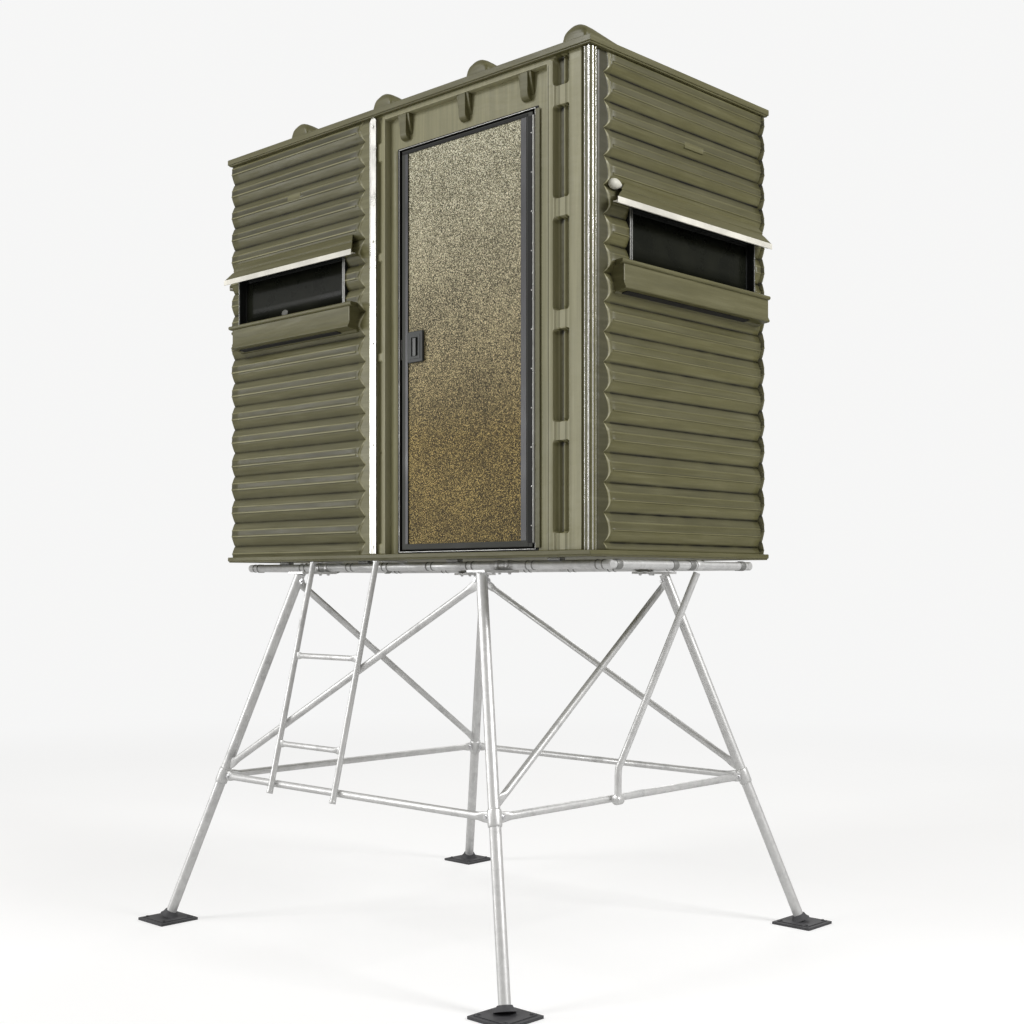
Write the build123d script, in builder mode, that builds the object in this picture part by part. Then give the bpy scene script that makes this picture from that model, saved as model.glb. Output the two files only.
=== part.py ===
from build123d import *
import os

# Elevated box blind: a ribbed plastic cabin with five windows and one door, on a
# four-legged tube tower. Millimetres, +Z up, origin on the ground under the middle.

os.makedirs("parts", exist_ok=True)

# Cabin
BASE_Z = 1724  # underside of the floor tray above the ground
LENGTH, DEPTH, HEIGHT = 2406, 1242, 2032  # cabin over its flanges
FLANGE = 14  # tray and roof stand this far past the wall ribs
HALF_X, HALF_Y = LENGTH / 2 - FLANGE, DEPTH / 2 - FLANGE  # outermost face of the ribs
TRAY_THICK, ROOF_RIM, ROOF_SHEET, RIM_WALL = 26, 34, 6, 12
WALL_LOW, WALL_HIGH = TRAY_THICK, HEIGHT - ROOF_SHEET - 4
CORNER_ROUND = 12

# Ribbed sheet
SHEET = 4
RIB_DEPTH = 22
RIB_SHAPE = ((0.0, -RIB_DEPTH), (0.2, -11), (0.38, -1), (0.46, 0), (0.72, -3), (0.86, -11))  # share, depth
# Valleys between the ribs, as heights: the ribs are a little lower above the windows than below them
LONG_WALL_VALLEYS = [81 + 118 * k for k in range(-1, 9)] + [1025 + 110.75 * k for k in range(1, 10)]
SHORT_WALL_VALLEYS = [56 + 119.25 * k for k in range(-1, 9)] + [1010 + 115.6 * k for k in range(1, 6)]
SHORT_WALL_VALLEYS += [1588 + 110 * k for k in range(1, 5)]
FLAT_DEPTH = -12  # flat borders lie this far behind the ribs
JOINT_X = -100  # where the two front panels meet

# Windows: heights above the tray's underside
WINDOW_LOW, WINDOW_HIGH = 1185, 1421
WINDOW_TALL = WINDOW_HIGH - WINDOW_LOW
SHORT_WINDOW, LONG_WINDOW = 831, 891
HOOD_REACH, HOOD_TOP, HOOD_LIP = 58, 1500, 1411
SILL_REACH, SILL_TOP, SILL_LOW = 58, 1178, 1062
FRAME_BAR, FRAME_FRONT, FRAME_BACK = 8, -2, -34
FRAME_LAP = 12  # the frame's inner flange laps the wall
SASH_GAP, SASH_BAR, SASH_THICK = 6, 14, 13.5
SASH_FRONT = FRAME_BACK - 0.5
PANE_THICK = 5
SASH_TRAVEL = 215

# Door
RECESS_LEFT, RECESS_RIGHT, RECESS_TOP = -25, 957, 1962
MOULD_DEPTH, RECESS_DEPTH = -7, -37  # faces of the door panel, behind the ribs
DOOR_LEFT, DOOR_RIGHT, DOOR_LOW, DOOR_HIGH = 64, 857.5, 43, 1818
SKIN_LEFT, SKIN_RIGHT, SKIN_LOW, SKIN_HIGH = 109, 790, 70, 1800
LEAF_FRONT, LEAF_BACK = -29, -67
JAMB_LEFT, JAMB_RIGHT, JAMB_LOW, JAMB_HIGH = 47, 868, 37, 1826  # clear width and height
JAMB_WALL, JAMB_BACK = 6, -105
HINGE_X, HINGE_DEPTH, HINGE_ROUND, PIN_ROUND = 864.5, LEAF_FRONT, 5.5, 2.0
RUNNING_GAP = 0.05
LATCH_X, LATCH_Z, LATCH_WIDE, LATCH_TALL = 159, 938, 100, 138

# Tower
FOOT_X, FOOT_Y = 1127, 1017
TOP_X, TOP_Y, TOP_Z = 605, 620, 1674
LEG_ROUND, RING_ROUND, DIAGONAL_ROUND, TUBE_WALL = 24, 16.5, 16, 3
RING_Z = 700
RAIL_ROUND, RAIL_Y, RAIL_Z, END_X = 19, 480, 1695, 1180
PAD_SIDE, PAD_THICK = 203, 12
LADDER_X, LADDER_HALF, LADDER_ROUND, RUNG_ROUND = -259, 225, 13.5, 12.5
RUNG_HEIGHTS = (885, 1285)

UP = Vector(0, 0, 1)
FRONT, RIGHT, REAR, LEFT = Vector(0, -1, 0), Vector(1, 0, 0), Vector(0, 1, 0), Vector(-1, 0, 0)

# Each window wall: outward direction, reach, ends, ribbed stretch, heights of its valleys,
# then the centre and width of its window, hood and sill, all seen from outside.
PANELS = {
    "front": (FRONT, HALF_Y, (-HALF_X, JOINT_X - 2), (-HALF_X, -185), LONG_WALL_VALLEYS,
              (-712, SHORT_WINDOW), (-675, 990), (-661, 948)),
    "right": (RIGHT, HALF_X, (-558, 579), (-495, 579), SHORT_WALL_VALLEYS,
              (85, LONG_WINDOW), (35, 1088), (46, 1044)),
    "left": (LEFT, HALF_X, (-579, 579), (-495, 579), SHORT_WALL_VALLEYS,
             (85, LONG_WINDOW), (35, 1088), (46, 1044)),
    "rear_right": (REAR, HALF_Y, (-JOINT_X + 2, HALF_X), (185, HALF_X), LONG_WALL_VALLEYS,
                   (712, SHORT_WINDOW), (675, 990), (661, 948)),
    "rear_left": (REAR, HALF_Y, (-HALF_X, -JOINT_X - 2), (-HALF_X, 15), LONG_WALL_VALLEYS,
                  (-587, LONG_WINDOW), (-587, 1088), (-587, 1044)),
}


def write(piece, name):
    """Labels a finished piece and writes its STEP file."""
    piece.part.label = name
    export_step(piece.part, f"parts/{name}.step")


def elevation(outward, reach, depth=0.0):
    """Plane of a wall seen from outside: x to the right, y up from the tray's underside."""
    return Plane(origin=outward * (reach + depth) + UP * BASE_Z, x_dir=UP.cross(outward), z_dir=outward)


def cross_section(outward, reach, along):
    """Plane across a wall: x outward, y up. Extruding goes to the left as seen from outside."""
    right = UP.cross(outward)
    return Plane(origin=outward * reach + right * along + UP * BASE_Z, x_dir=outward, z_dir=right * -1)


def leg_axis(side_x, side_y):
    """Plane whose normal runs up the axis of the leg at this corner, from the foot."""
    foot = Vector(side_x * FOOT_X, side_y * FOOT_Y, 0)
    top = Vector(side_x * TOP_X, side_y * TOP_Y, TOP_Z)
    return Plane(origin=foot, z_dir=top - foot)


def leg_point(side_x, side_y, height):
    """Point on a leg's axis at this height above the ground."""
    share = height / TOP_Z
    return Vector(
        side_x * (FOOT_X + (TOP_X - FOOT_X) * share), side_y * (FOOT_Y + (TOP_Y - FOOT_Y) * share), height
    )


def sheet_outline(valleys):
    """Closed outline of the ribbed sheet: its outer face from bottom to top, then its inner face."""
    outer = [(FLAT_DEPTH, WALL_LOW)]
    for low, high in zip(valleys, valleys[1:]):
        for share, depth in RIB_SHAPE:
            height = low + share * (high - low)
            if WALL_LOW + SHEET < height < WALL_HIGH - SHEET:
                outer.append((depth, height))
    outer.append((FLAT_DEPTH, WALL_HIGH))
    inner = [(depth - SHEET, height) for depth, height in reversed(outer)]
    return outer + inner + outer[:1]


def window_panel(name, wall):
    """Ribbed wall with its window opening, the hood over it and the sill box under it."""
    outward, reach, ends, ribs, valleys, window, hood, sill = wall
    flat = (ribs[1], ends[1]) if ribs[1] < ends[1] else (ends[0], ribs[0])
    border = ribs[1] if ribs[1] < ends[1] else ribs[0]
    with BuildPart() as piece:
        with BuildSketch(cross_section(outward, reach, ribs[1])):
            with BuildLine():
                Polyline(*sheet_outline(valleys))
            make_face()
        extrude(amount=ribs[1] - ribs[0])
        if flat[1] > flat[0]:
            middle = (WALL_LOW + WALL_HIGH) / 2
            with BuildSketch(elevation(outward, reach, FLAT_DEPTH)):
                with Locations(((flat[0] + flat[1]) / 2, middle)):
                    Rectangle(flat[1] - flat[0], WALL_HIGH - WALL_LOW)
            extrude(amount=-SHEET)
            with BuildSketch(elevation(outward, reach)):
                with Locations((border, middle)):
                    Rectangle(SHEET, WALL_HIGH - WALL_LOW)
            extrude(amount=-RIB_DEPTH - SHEET)
        with BuildSketch(elevation(outward, reach, SHEET)):
            with Locations((window[0], (WINDOW_LOW + WINDOW_HIGH) / 2)):
                Rectangle(window[1], WINDOW_TALL)
        extrude(amount=-RIB_DEPTH - 3 * SHEET, mode=Mode.SUBTRACT)
        with BuildSketch(cross_section(outward, reach, hood[0] + hood[1] / 2)):
            with BuildLine():
                Polyline(
                    (-RIB_DEPTH, HOOD_TOP), (0, HOOD_TOP), (HOOD_REACH, HOOD_LIP), (HOOD_REACH, HOOD_LIP - 10),
                    (-1, WINDOW_HIGH), (-RIB_DEPTH, WINDOW_HIGH), (-RIB_DEPTH, WINDOW_HIGH + 6),
                    (HOOD_REACH - 14, HOOD_LIP + 1),
                    (-RIB_DEPTH, HOOD_TOP - 12), (-RIB_DEPTH, HOOD_TOP),
                )
            make_face()
        extrude(amount=hood[1])
        with BuildSketch(cross_section(outward, reach, sill[0] + sill[1] / 2)):
            with BuildLine():
                Polyline(
                    (-RIB_DEPTH, WINDOW_LOW), (SILL_REACH - 8, SILL_TOP), (SILL_REACH, SILL_TOP - 5),
                    (SILL_REACH, SILL_TOP - 14), (SILL_REACH - 10, SILL_TOP - 20), (SILL_REACH - 10, SILL_LOW + 26),
                    (SILL_REACH - 2, SILL_LOW + 10), (SILL_REACH - 2, SILL_LOW), (-RIB_DEPTH, SILL_LOW - 14),
                    (-RIB_DEPTH, WINDOW_LOW),
                )
            make_face()
            with Locations((SILL_REACH / 2 - 22, (SILL_TOP + SILL_LOW) / 2 - 2)):
                Rectangle(SILL_REACH + 2, SILL_TOP - SILL_LOW - 16, mode=Mode.SUBTRACT)
        extrude(amount=sill[1])
    write(piece, name)


def window_parts(name, wall):
    """The sliding sash of one window and its pane."""
    outward, reach, _, _, _, window, _, _ = wall
    centre = (window[0], (WINDOW_LOW + WINDOW_HIGH) / 2)
    wide, tall = window[1] - 2 * SASH_GAP, WINDOW_TALL - 2 * SASH_GAP
    lap = 7
    with BuildPart() as sash:
        with BuildSketch(elevation(outward, reach, SASH_FRONT)):
            with Locations(centre):
                Rectangle(wide, tall)
                Rectangle(wide - 2 * SASH_BAR, tall - 2 * SASH_BAR, mode=Mode.SUBTRACT)
        extrude(amount=-SASH_THICK)
        with BuildSketch(elevation(outward, reach, SASH_FRONT - 3.5)):
            with Locations(centre):
                Rectangle(wide - 2 * (SASH_BAR - lap), tall - 2 * (SASH_BAR - lap))
        extrude(amount=-SASH_THICK, mode=Mode.SUBTRACT)
        pull_low = WINDOW_LOW + SASH_GAP + 3
        with BuildSketch(elevation(outward, reach, SASH_FRONT - SASH_THICK)):
            with Locations((window[0], pull_low + 4)):
                RectangleRounded(70, 8, 2)
        extrude(amount=-16)
    write(sash, f"sash_{name}")
    with BuildPart() as pane:
        with BuildSketch(elevation(outward, reach, SASH_FRONT - 3.5)):
            with Locations(centre):
                Rectangle(wide - 2 * (SASH_BAR - lap) - 1, tall - 2 * (SASH_BAR - lap) - 1)
        extrude(amount=-PANE_THICK)
    write(pane, f"pane_{name}")


def strut(name, start, end, radius, legs):
    """Straight tube between two points, trimmed where it meets the legs."""
    with BuildPart() as piece:
        with BuildSketch(Plane(origin=start, z_dir=end - start)):
            Circle(radius)
            Circle(radius - TUBE_WALL, mode=Mode.SUBTRACT)
        extrude(amount=(end - start).length)
        for side_x, side_y in legs:
            with BuildSketch(leg_axis(side_x, side_y)):
                Circle(LEG_ROUND + 0.3)
            extrude(amount=TOP_Z * 1.1, mode=Mode.SUBTRACT)
    write(piece, name)


# ---------------------------------------------------------------- tower
CORNERS = {"front_left": (-1, -1), "front_right": (1, -1), "rear_right": (1, 1), "rear_left": (-1, 1)}
SADDLE_LOW = 1662

for corner, (side_x, side_y) in CORNERS.items():
    with BuildPart() as leg:
        with BuildSketch(leg_axis(side_x, side_y)):
            Circle(LEG_ROUND)
            Circle(LEG_ROUND - TUBE_WALL, mode=Mode.SUBTRACT)
        extrude(amount=TOP_Z * 1.1)
        split(bisect_by=Plane.XY.offset(SADDLE_LOW), keep=Keep.BOTTOM)
        split(bisect_by=Plane.XY.offset(PAD_THICK + 9), keep=Keep.TOP)
    write(leg, f"leg_{corner}")

with BuildPart() as foot_pads:
    for side_x, side_y in CORNERS.values():
        with BuildSketch(leg_axis(side_x, side_y).offset(-6)):
            Circle(64)
        extrude(amount=64, taper=24)
    split(bisect_by=Plane.XY.offset(PAD_THICK - 2), keep=Keep.TOP)
    with BuildSketch(Plane.XY):
        with GridLocations(2 * FOOT_X, 2 * FOOT_Y, 2, 2):
            RectangleRounded(PAD_SIDE, PAD_SIDE, 8)
    extrude(amount=PAD_THICK)
    for side_x, side_y in CORNERS.values():
        with BuildSketch(leg_axis(side_x, side_y).offset(PAD_THICK)):
            Circle(LEG_ROUND + 0.2)
        extrude(amount=120, mode=Mode.SUBTRACT)
write(foot_pads, "foot_pads")

FACES = {"front": ("front_left", "front_right"), "right": ("front_right", "rear_right"),
         "rear": ("rear_right", "rear_left"), "left": ("rear_left", "front_left")}
for face, (first, second) in FACES.items():
    pair = (CORNERS[first], CORNERS[second])
    strut(f"ring_brace_{face}", leg_point(*pair[0], RING_Z), leg_point(*pair[1], RING_Z), RING_ROUND, pair)
    strut(f"diagonal_{face}", leg_point(*pair[0], RING_Z + 38), leg_point(*pair[1], TOP_Z - 44),
          DIAGONAL_ROUND, pair)

with BuildPart() as side_strut:
    with BuildLine() as strut_path:
        FilletPolyline((END_X, 112, 1658), (952, -145, 832), (952, -145, 672), radius=60)
    with BuildSketch(Plane(origin=strut_path.line @ 0, z_dir=strut_path.line % 0)):
        Circle(15)
        Circle(15 - TUBE_WALL, mode=Mode.SUBTRACT)
    sweep()
write(side_strut, "side_struts")

for face, side in (("front", -1), ("rear", 1)):
    with BuildPart() as rail:
        with BuildSketch(Plane.YZ.offset(-RAIL_ROUND - END_X)):
            with Locations((side * RAIL_Y, RAIL_Z)):
                Circle(RAIL_ROUND)
                Circle(RAIL_ROUND - TUBE_WALL, mode=Mode.SUBTRACT)
        extrude(amount=2 * (END_X + RAIL_ROUND))
    write(rail, f"platform_rail_{face}")

with BuildPart() as end_tubes:
    with BuildSketch(Plane.XZ.offset(RAIL_ROUND - RAIL_Y)):
        with Locations((-END_X, RAIL_Z), (END_X, RAIL_Z)):
            Circle(RAIL_ROUND)
            Circle(RAIL_ROUND - TUBE_WALL, mode=Mode.SUBTRACT)
    extrude(amount=2 * (RAIL_Y - RAIL_ROUND))
write(end_tubes, "platform_end_tubes")

with BuildPart() as sleeves:
    for side in (-1, 1):
        with BuildSketch(Plane.YZ.offset(-side * 150 - 17)):
            with Locations((side * RAIL_Y, RAIL_Z)):
                Circle(RAIL_ROUND + 3)
                Circle(RAIL_ROUND + RUNNING_GAP, mode=Mode.SUBTRACT)
        extrude(amount=34)
        with BuildSketch(Plane.XZ.offset(60 * side - 17)):
            with Locations((side * END_X, RAIL_Z)):
                Circle(RAIL_ROUND + 3)
                Circle(RAIL_ROUND + RUNNING_GAP, mode=Mode.SUBTRACT)
        extrude(amount=34)
write(sleeves, "coupling_sleeves")

with BuildPart() as clamps:
    rail_low, rail_high = RAIL_Z - RAIL_ROUND, RAIL_Z + RAIL_ROUND
    with BuildSketch(Plane.XY.offset(SADDLE_LOW + 0.2)):
        with Locations(*[(x * TOP_X, y * (RAIL_Y + TOP_Y) / 2) for x, y in CORNERS.values()]):
            RectangleRounded(110, TOP_Y - RAIL_Y + 70, 8)
    extrude(amount=rail_low - SADDLE_LOW - 0.4)
    with BuildSketch(Plane.XY.offset(rail_high + 0.1)):
        with GridLocations(600, 2 * RAIL_Y, 4, 2):
            RectangleRounded(70, 34, 6)
    extrude(amount=BASE_Z - rail_high - 0.2)
write(clamps, "tube_clamps")

LADDER_TOP = Vector(0, -643, 1716)
LADDER_FOOT = Vector(0, -898, 645)
STRINGERS = (LADDER_X - LADDER_HALF, LADDER_X + LADDER_HALF)
with BuildPart() as stringers:
    for stringer_x in STRINGERS:
        foot = LADDER_FOOT + Vector(stringer_x, 0, 0)
        with BuildSketch(Plane(origin=foot, z_dir=LADDER_TOP - LADDER_FOOT)):
            Circle(LADDER_ROUND)
            Circle(LADDER_ROUND - 2.5, mode=Mode.SUBTRACT)
        extrude(amount=(LADDER_TOP - LADDER_FOOT).length)
        with BuildSketch(Plane.XY.offset(RAIL_Z + RAIL_ROUND + 0.4)):
            with Locations((stringer_x, (LADDER_TOP.Y + 1 - RAIL_Y) / 2)):
                RectangleRounded(26, -LADDER_TOP.Y + 27 - RAIL_Y, 6)
        extrude(amount=6)
write(stringers, "ladder_stringers")

with BuildPart() as rungs:
    for height in RUNG_HEIGHTS:
        share = (height - LADDER_FOOT.Z) / (LADDER_TOP.Z - LADDER_FOOT.Z)
        rung_y = LADDER_FOOT.Y + (LADDER_TOP.Y - LADDER_FOOT.Y) * share
        with BuildSketch(Plane.YZ.offset(STRINGERS[0] + LADDER_ROUND)):
            with Locations((rung_y, height)):
                Circle(RUNG_ROUND)
        extrude(amount=2 * (LADDER_HALF - LADDER_ROUND))
write(rungs, "ladder_rungs")

with BuildPart() as bolts:
    ring_x, ring_y = leg_point(1, 1, RING_Z).X, leg_point(1, 1, RING_Z).Y
    for side in (-1, 1):
        with BuildSketch(Plane.XZ.offset(side * (ring_y + RING_ROUND) - (9 if side < 0 else 0))):
            with Locations((ring_x - 60, RING_Z), (60 - ring_x, RING_Z)):
                RegularPolygon(9, 6)
        extrude(amount=9)
        with BuildSketch(Plane.YZ.offset(side * (ring_x + RING_ROUND) - (9 if side < 0 else 0))):
            with Locations((ring_y - 60, RING_Z), (60 - ring_y, RING_Z)):
                RegularPolygon(9, 6)
        extrude(amount=9)
write(bolts, "brace_bolts")

# ---------------------------------------------------------------- floor and roof
with BuildPart() as tray:
    with BuildSketch(Plane.XY.offset(BASE_Z)):
        RectangleRounded(LENGTH, DEPTH, CORNER_ROUND)
    extrude(amount=TRAY_THICK)
    with BuildSketch(Plane.XY.offset(BASE_Z)):
        with GridLocations(230, 235, 10, 5):
            RectangleRounded(200, 205, 20)
    extrude(amount=TRAY_THICK - 8, mode=Mode.SUBTRACT)
write(tray, "floor_tray")

RIB_CENTRES = (-632, -33, 566, 1110)
ROOF_RIB_WIDE, ROOF_RIB_TALL, ROOF_RIB_LOW, ROOF_RIB_SKIN = 130, 64, 18, 5


def roof_ribs(skin):
    """Ribs across the roof, drawn in by skin: tall at the front end, then low as far as the rear."""
    base = BASE_Z + HEIGHT - (ROOF_SHEET if skin else 0)
    half, end = ROOF_RIB_WIDE / 2 - skin, 600 - skin
    tall, low = (BASE_Z + HEIGHT + height - skin for height in (ROOF_RIB_TALL, ROOF_RIB_LOW))
    with BuildPart() as ribs:
        with BuildSketch(Plane.XZ.offset(-end)):
            for centre in RIB_CENTRES:
                with BuildLine():
                    Polyline(
                        (centre - half, base), (centre + half, base), (centre + half, base + 4),
                        (centre + half - 22, tall), (centre - half + 22, tall), (centre - half, base + 4),
                        (centre - half, base),
                    )
                make_face()
        extrude(amount=2 * end)
        with BuildSketch(Plane.YZ.offset(-LENGTH / 2)):
            with BuildLine():
                Polyline(
                    (-end, base), (end, base), (end, low), (-350, low), (-540, tall), (-end, tall), (-end, base),
                )
            make_face()
        extrude(amount=LENGTH, mode=Mode.INTERSECT)
    return ribs.part


with BuildPart() as roof:
    with BuildSketch(Plane.XY.offset(BASE_Z + HEIGHT - ROOF_RIM)):
        RectangleRounded(LENGTH, DEPTH, CORNER_ROUND)
    extrude(amount=ROOF_RIM)
    with BuildSketch(Plane.XY.offset(BASE_Z + HEIGHT - ROOF_RIM)):
        Rectangle(LENGTH - 2 * RIM_WALL, DEPTH - 2 * RIM_WALL)
    extrude(amount=ROOF_RIM - ROOF_SHEET, mode=Mode.SUBTRACT)
    add(roof_ribs(0))
    add(roof_ribs(ROOF_RIB_SKIN), mode=Mode.SUBTRACT)
write(roof, "roof_cap")

# ---------------------------------------------------------------- corners and joints
POST_BACK, POST_LEG, POST_THICK = 27.5, 20, 3
with BuildPart() as posts:
    with BuildSketch(Plane.XY.offset(BASE_Z + WALL_LOW)):
        for side_x, side_y in CORNERS.values():
            corner_x, corner_y = side_x * (HALF_X - POST_BACK), side_y * (HALF_Y - POST_BACK)
            with Locations((corner_x - side_x * POST_LEG / 2, corner_y - side_y * POST_THICK / 2)):
                Rectangle(POST_LEG, POST_THICK)
            with Locations((corner_x - side_x * POST_THICK / 2, corner_y - side_y * POST_LEG / 2)):
                Rectangle(POST_THICK, POST_LEG)
    extrude(amount=WALL_HIGH - WALL_LOW)
write(posts, "corner_posts")

TRIM_X, TRIM_Y = HALF_X - 2, 2 - HALF_Y
with BuildPart() as corner_trim:
    with BuildSketch(Plane.XY.offset(BASE_Z + WALL_LOW)):
        with BuildLine():
            Polyline(
                (1152, TRIM_Y), (TRIM_X - 8, TRIM_Y), (TRIM_X, TRIM_Y + 8), (TRIM_X, TRIM_Y + 45),
                (TRIM_X - 9, TRIM_Y + 45), (TRIM_X - 9, TRIM_Y + 9), (1152, TRIM_Y + 9), (1152, TRIM_Y),
            )
        make_face()
    extrude(amount=HEIGHT - ROOF_RIM - 1 - WALL_LOW)
write(corner_trim, "corner_trim")

STRIP_WIDE, STRIP_THICK = 55, 6
with BuildPart() as strips:
    strip_tall = HEIGHT - ROOF_RIM - 1 - WALL_LOW
    for outward, along, depth in ((FRONT, JOINT_X, -0.8), (REAR, -JOINT_X, -5.8)):
        with BuildSketch(elevation(outward, HALF_Y, depth)):
            with Locations((along, WALL_LOW + strip_tall / 2)):
                RectangleRounded(STRIP_WIDE, strip_tall, 12)
        extrude(amount=-STRIP_THICK)
write(strips, "joint_strips")

# ---------------------------------------------------------------- window walls
for side, wall in PANELS.items():
    window_panel(f"{side}_window_panel", wall)
    window_parts(side, wall)

with BuildPart() as window_frames:
    for outward, reach, _, _, _, window, _, _ in PANELS.values():
        centre = (window[0], (WINDOW_LOW + WINDOW_HIGH) / 2)
        inside = (window[1] - 2 - 2 * FRAME_BAR, WINDOW_TALL - 2 - 2 * FRAME_BAR)
        with BuildSketch(elevation(outward, reach, FRAME_FRONT)):
            with Locations(centre):
                Rectangle(window[1] - 2, WINDOW_TALL - 2)
                Rectangle(*inside, mode=Mode.SUBTRACT)
        extrude(amount=FRAME_BACK - FRAME_FRONT)
        with BuildSketch(elevation(outward, reach, FRAME_BACK)):
            with Locations(centre):
                Rectangle(window[1] + 2 * FRAME_LAP, WINDOW_TALL + 2 * FRAME_LAP)
                Rectangle(*inside, mode=Mode.SUBTRACT)
        extrude(amount=7)
write(window_frames, "window_frames")

with BuildPart() as tracks:
    for outward, reach, _, _, _, window, _, _ in PANELS.values():
        track_high = WINDOW_HIGH + FRAME_LAP
        track_low = WINDOW_LOW - SASH_TRAVEL - 20
        middle, tall = (track_low + track_high) / 2, track_high - track_low
        slide_edge = window[1] / 2 - SASH_GAP + 0.6
        for side in (-1, 1):
            with BuildSketch(elevation(outward, reach, FRAME_BACK)):
                with Locations((window[0] + side * (slide_edge + 6), middle)):
                    Rectangle(12, tall)
            extrude(amount=-18)
            with BuildSketch(elevation(outward, reach, SASH_FRONT - SASH_THICK - 0.6)):
                with Locations((window[0] + side * (slide_edge + 3.5), middle)):
                    Rectangle(17, tall)
            extrude(amount=-3.4)
write(tracks, "window_tracks")

with BuildPart() as drip_rails:
    for outward, reach, _, _, _, _, hood, _ in PANELS.values():
        with BuildSketch(cross_section(outward, reach, hood[0] + hood[1] / 2)):
            with Locations((HOOD_REACH + 1.3, HOOD_LIP - 11)):
                Rectangle(2, 26)
            with Locations((HOOD_REACH - 12, HOOD_LIP - 14.5)):
                Rectangle(25.2, 2)
        extrude(amount=hood[1])
write(drip_rails, "drip_rails")

# ---------------------------------------------------------------- door wall
PANEL_LEFT, PANEL_RIGHT = JOINT_X + 2, 1150
HOOK_CENTRES = (110, 475, 840)
POCKET_LOWS, POCKET_TALL, POCKET_LEFT, POCKET_RIGHT = (96, 541, 986, 1431), 370, 989, 1072
RECESS_MIDDLE = (RECESS_LEFT + RECESS_RIGHT) / 2
RECESS_WIDE, RECESS_TALL = RECESS_RIGHT - RECESS_LEFT, RECESS_TOP - WALL_LOW
with BuildPart() as door_panel:
    with BuildSketch(elevation(FRONT, HALF_Y, MOULD_DEPTH)):
        with Locations(((PANEL_LEFT + PANEL_RIGHT) / 2, (WALL_LOW + WALL_HIGH) / 2)):
            Rectangle(PANEL_RIGHT - PANEL_LEFT, WALL_HIGH - WALL_LOW)
        with Locations((RECESS_MIDDLE, WALL_LOW + RECESS_TALL / 2)):
            Rectangle(RECESS_WIDE, RECESS_TALL, mode=Mode.SUBTRACT)
        with Locations(*[((POCKET_LEFT + POCKET_RIGHT) / 2, low + POCKET_TALL / 2) for low in POCKET_LOWS]):
            Rectangle(POCKET_RIGHT - POCKET_LEFT, POCKET_TALL, mode=Mode.SUBTRACT)
    extrude(amount=-SHEET)
    with BuildSketch(elevation(FRONT, HALF_Y, MOULD_DEPTH)):
        with Locations((RECESS_MIDDLE, WALL_LOW + (RECESS_TALL + SHEET) / 2)):
            Rectangle(RECESS_WIDE + 2 * SHEET, RECESS_TALL + SHEET)
        with Locations((RECESS_MIDDLE, WALL_LOW + RECESS_TALL / 2)):
            Rectangle(RECESS_WIDE, RECESS_TALL, mode=Mode.SUBTRACT)
    extrude(amount=RECESS_DEPTH - MOULD_DEPTH - SHEET)
    with BuildSketch(elevation(FRONT, HALF_Y, RECESS_DEPTH)):
        with Locations((RECESS_MIDDLE, WALL_LOW + (RECESS_TALL + SHEET) / 2)):
            Rectangle(RECESS_WIDE + 2 * SHEET, RECESS_TALL + SHEET)
        with Locations(((JAMB_LEFT + JAMB_RIGHT) / 2, (JAMB_LOW + JAMB_HIGH) / 2)):
            Rectangle(JAMB_RIGHT - JAMB_LEFT + 2 * JAMB_WALL + 1, JAMB_HIGH - JAMB_LOW + 2 * JAMB_WALL + 1,
                      mode=Mode.SUBTRACT)
    extrude(amount=-SHEET)
    for centre in HOOK_CENTRES:
        with BuildSketch(cross_section(FRONT, HALF_Y, centre + 24)):
            with BuildLine():
                Polyline((RECESS_DEPTH, RECESS_TOP - 96), (RECESS_DEPTH, RECESS_TOP), (MOULD_DEPTH - 3, RECESS_TOP),
                         (MOULD_DEPTH - 3, RECESS_TOP - 62))
                ThreePointArc((MOULD_DEPTH - 3, RECESS_TOP - 62), (MOULD_DEPTH - 11, RECESS_TOP - 86),
                              (RECESS_DEPTH, RECESS_TOP - 96))
            make_face()
        extrude(amount=48)
    with BuildSketch(elevation(FRONT, HALF_Y, MOULD_DEPTH - SHEET)):
        for low in POCKET_LOWS:
            with Locations(((POCKET_LEFT + POCKET_RIGHT) / 2, low + POCKET_TALL / 2)):
                Rectangle(POCKET_RIGHT - POCKET_LEFT + 2 * SHEET, POCKET_TALL + 2 * SHEET)
                Rectangle(POCKET_RIGHT - POCKET_LEFT, POCKET_TALL, mode=Mode.SUBTRACT)
    extrude(amount=-20)
    with BuildSketch(elevation(FRONT, HALF_Y, MOULD_DEPTH - SHEET - 20)):
        for low in POCKET_LOWS:
            with Locations(((POCKET_LEFT + POCKET_RIGHT) / 2, low + POCKET_TALL / 2)):
                Rectangle(POCKET_RIGHT - POCKET_LEFT + 2 * SHEET, POCKET_TALL + 2 * SHEET)
    extrude(amount=-SHEET)
write(door_panel, "front_door_panel")

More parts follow.
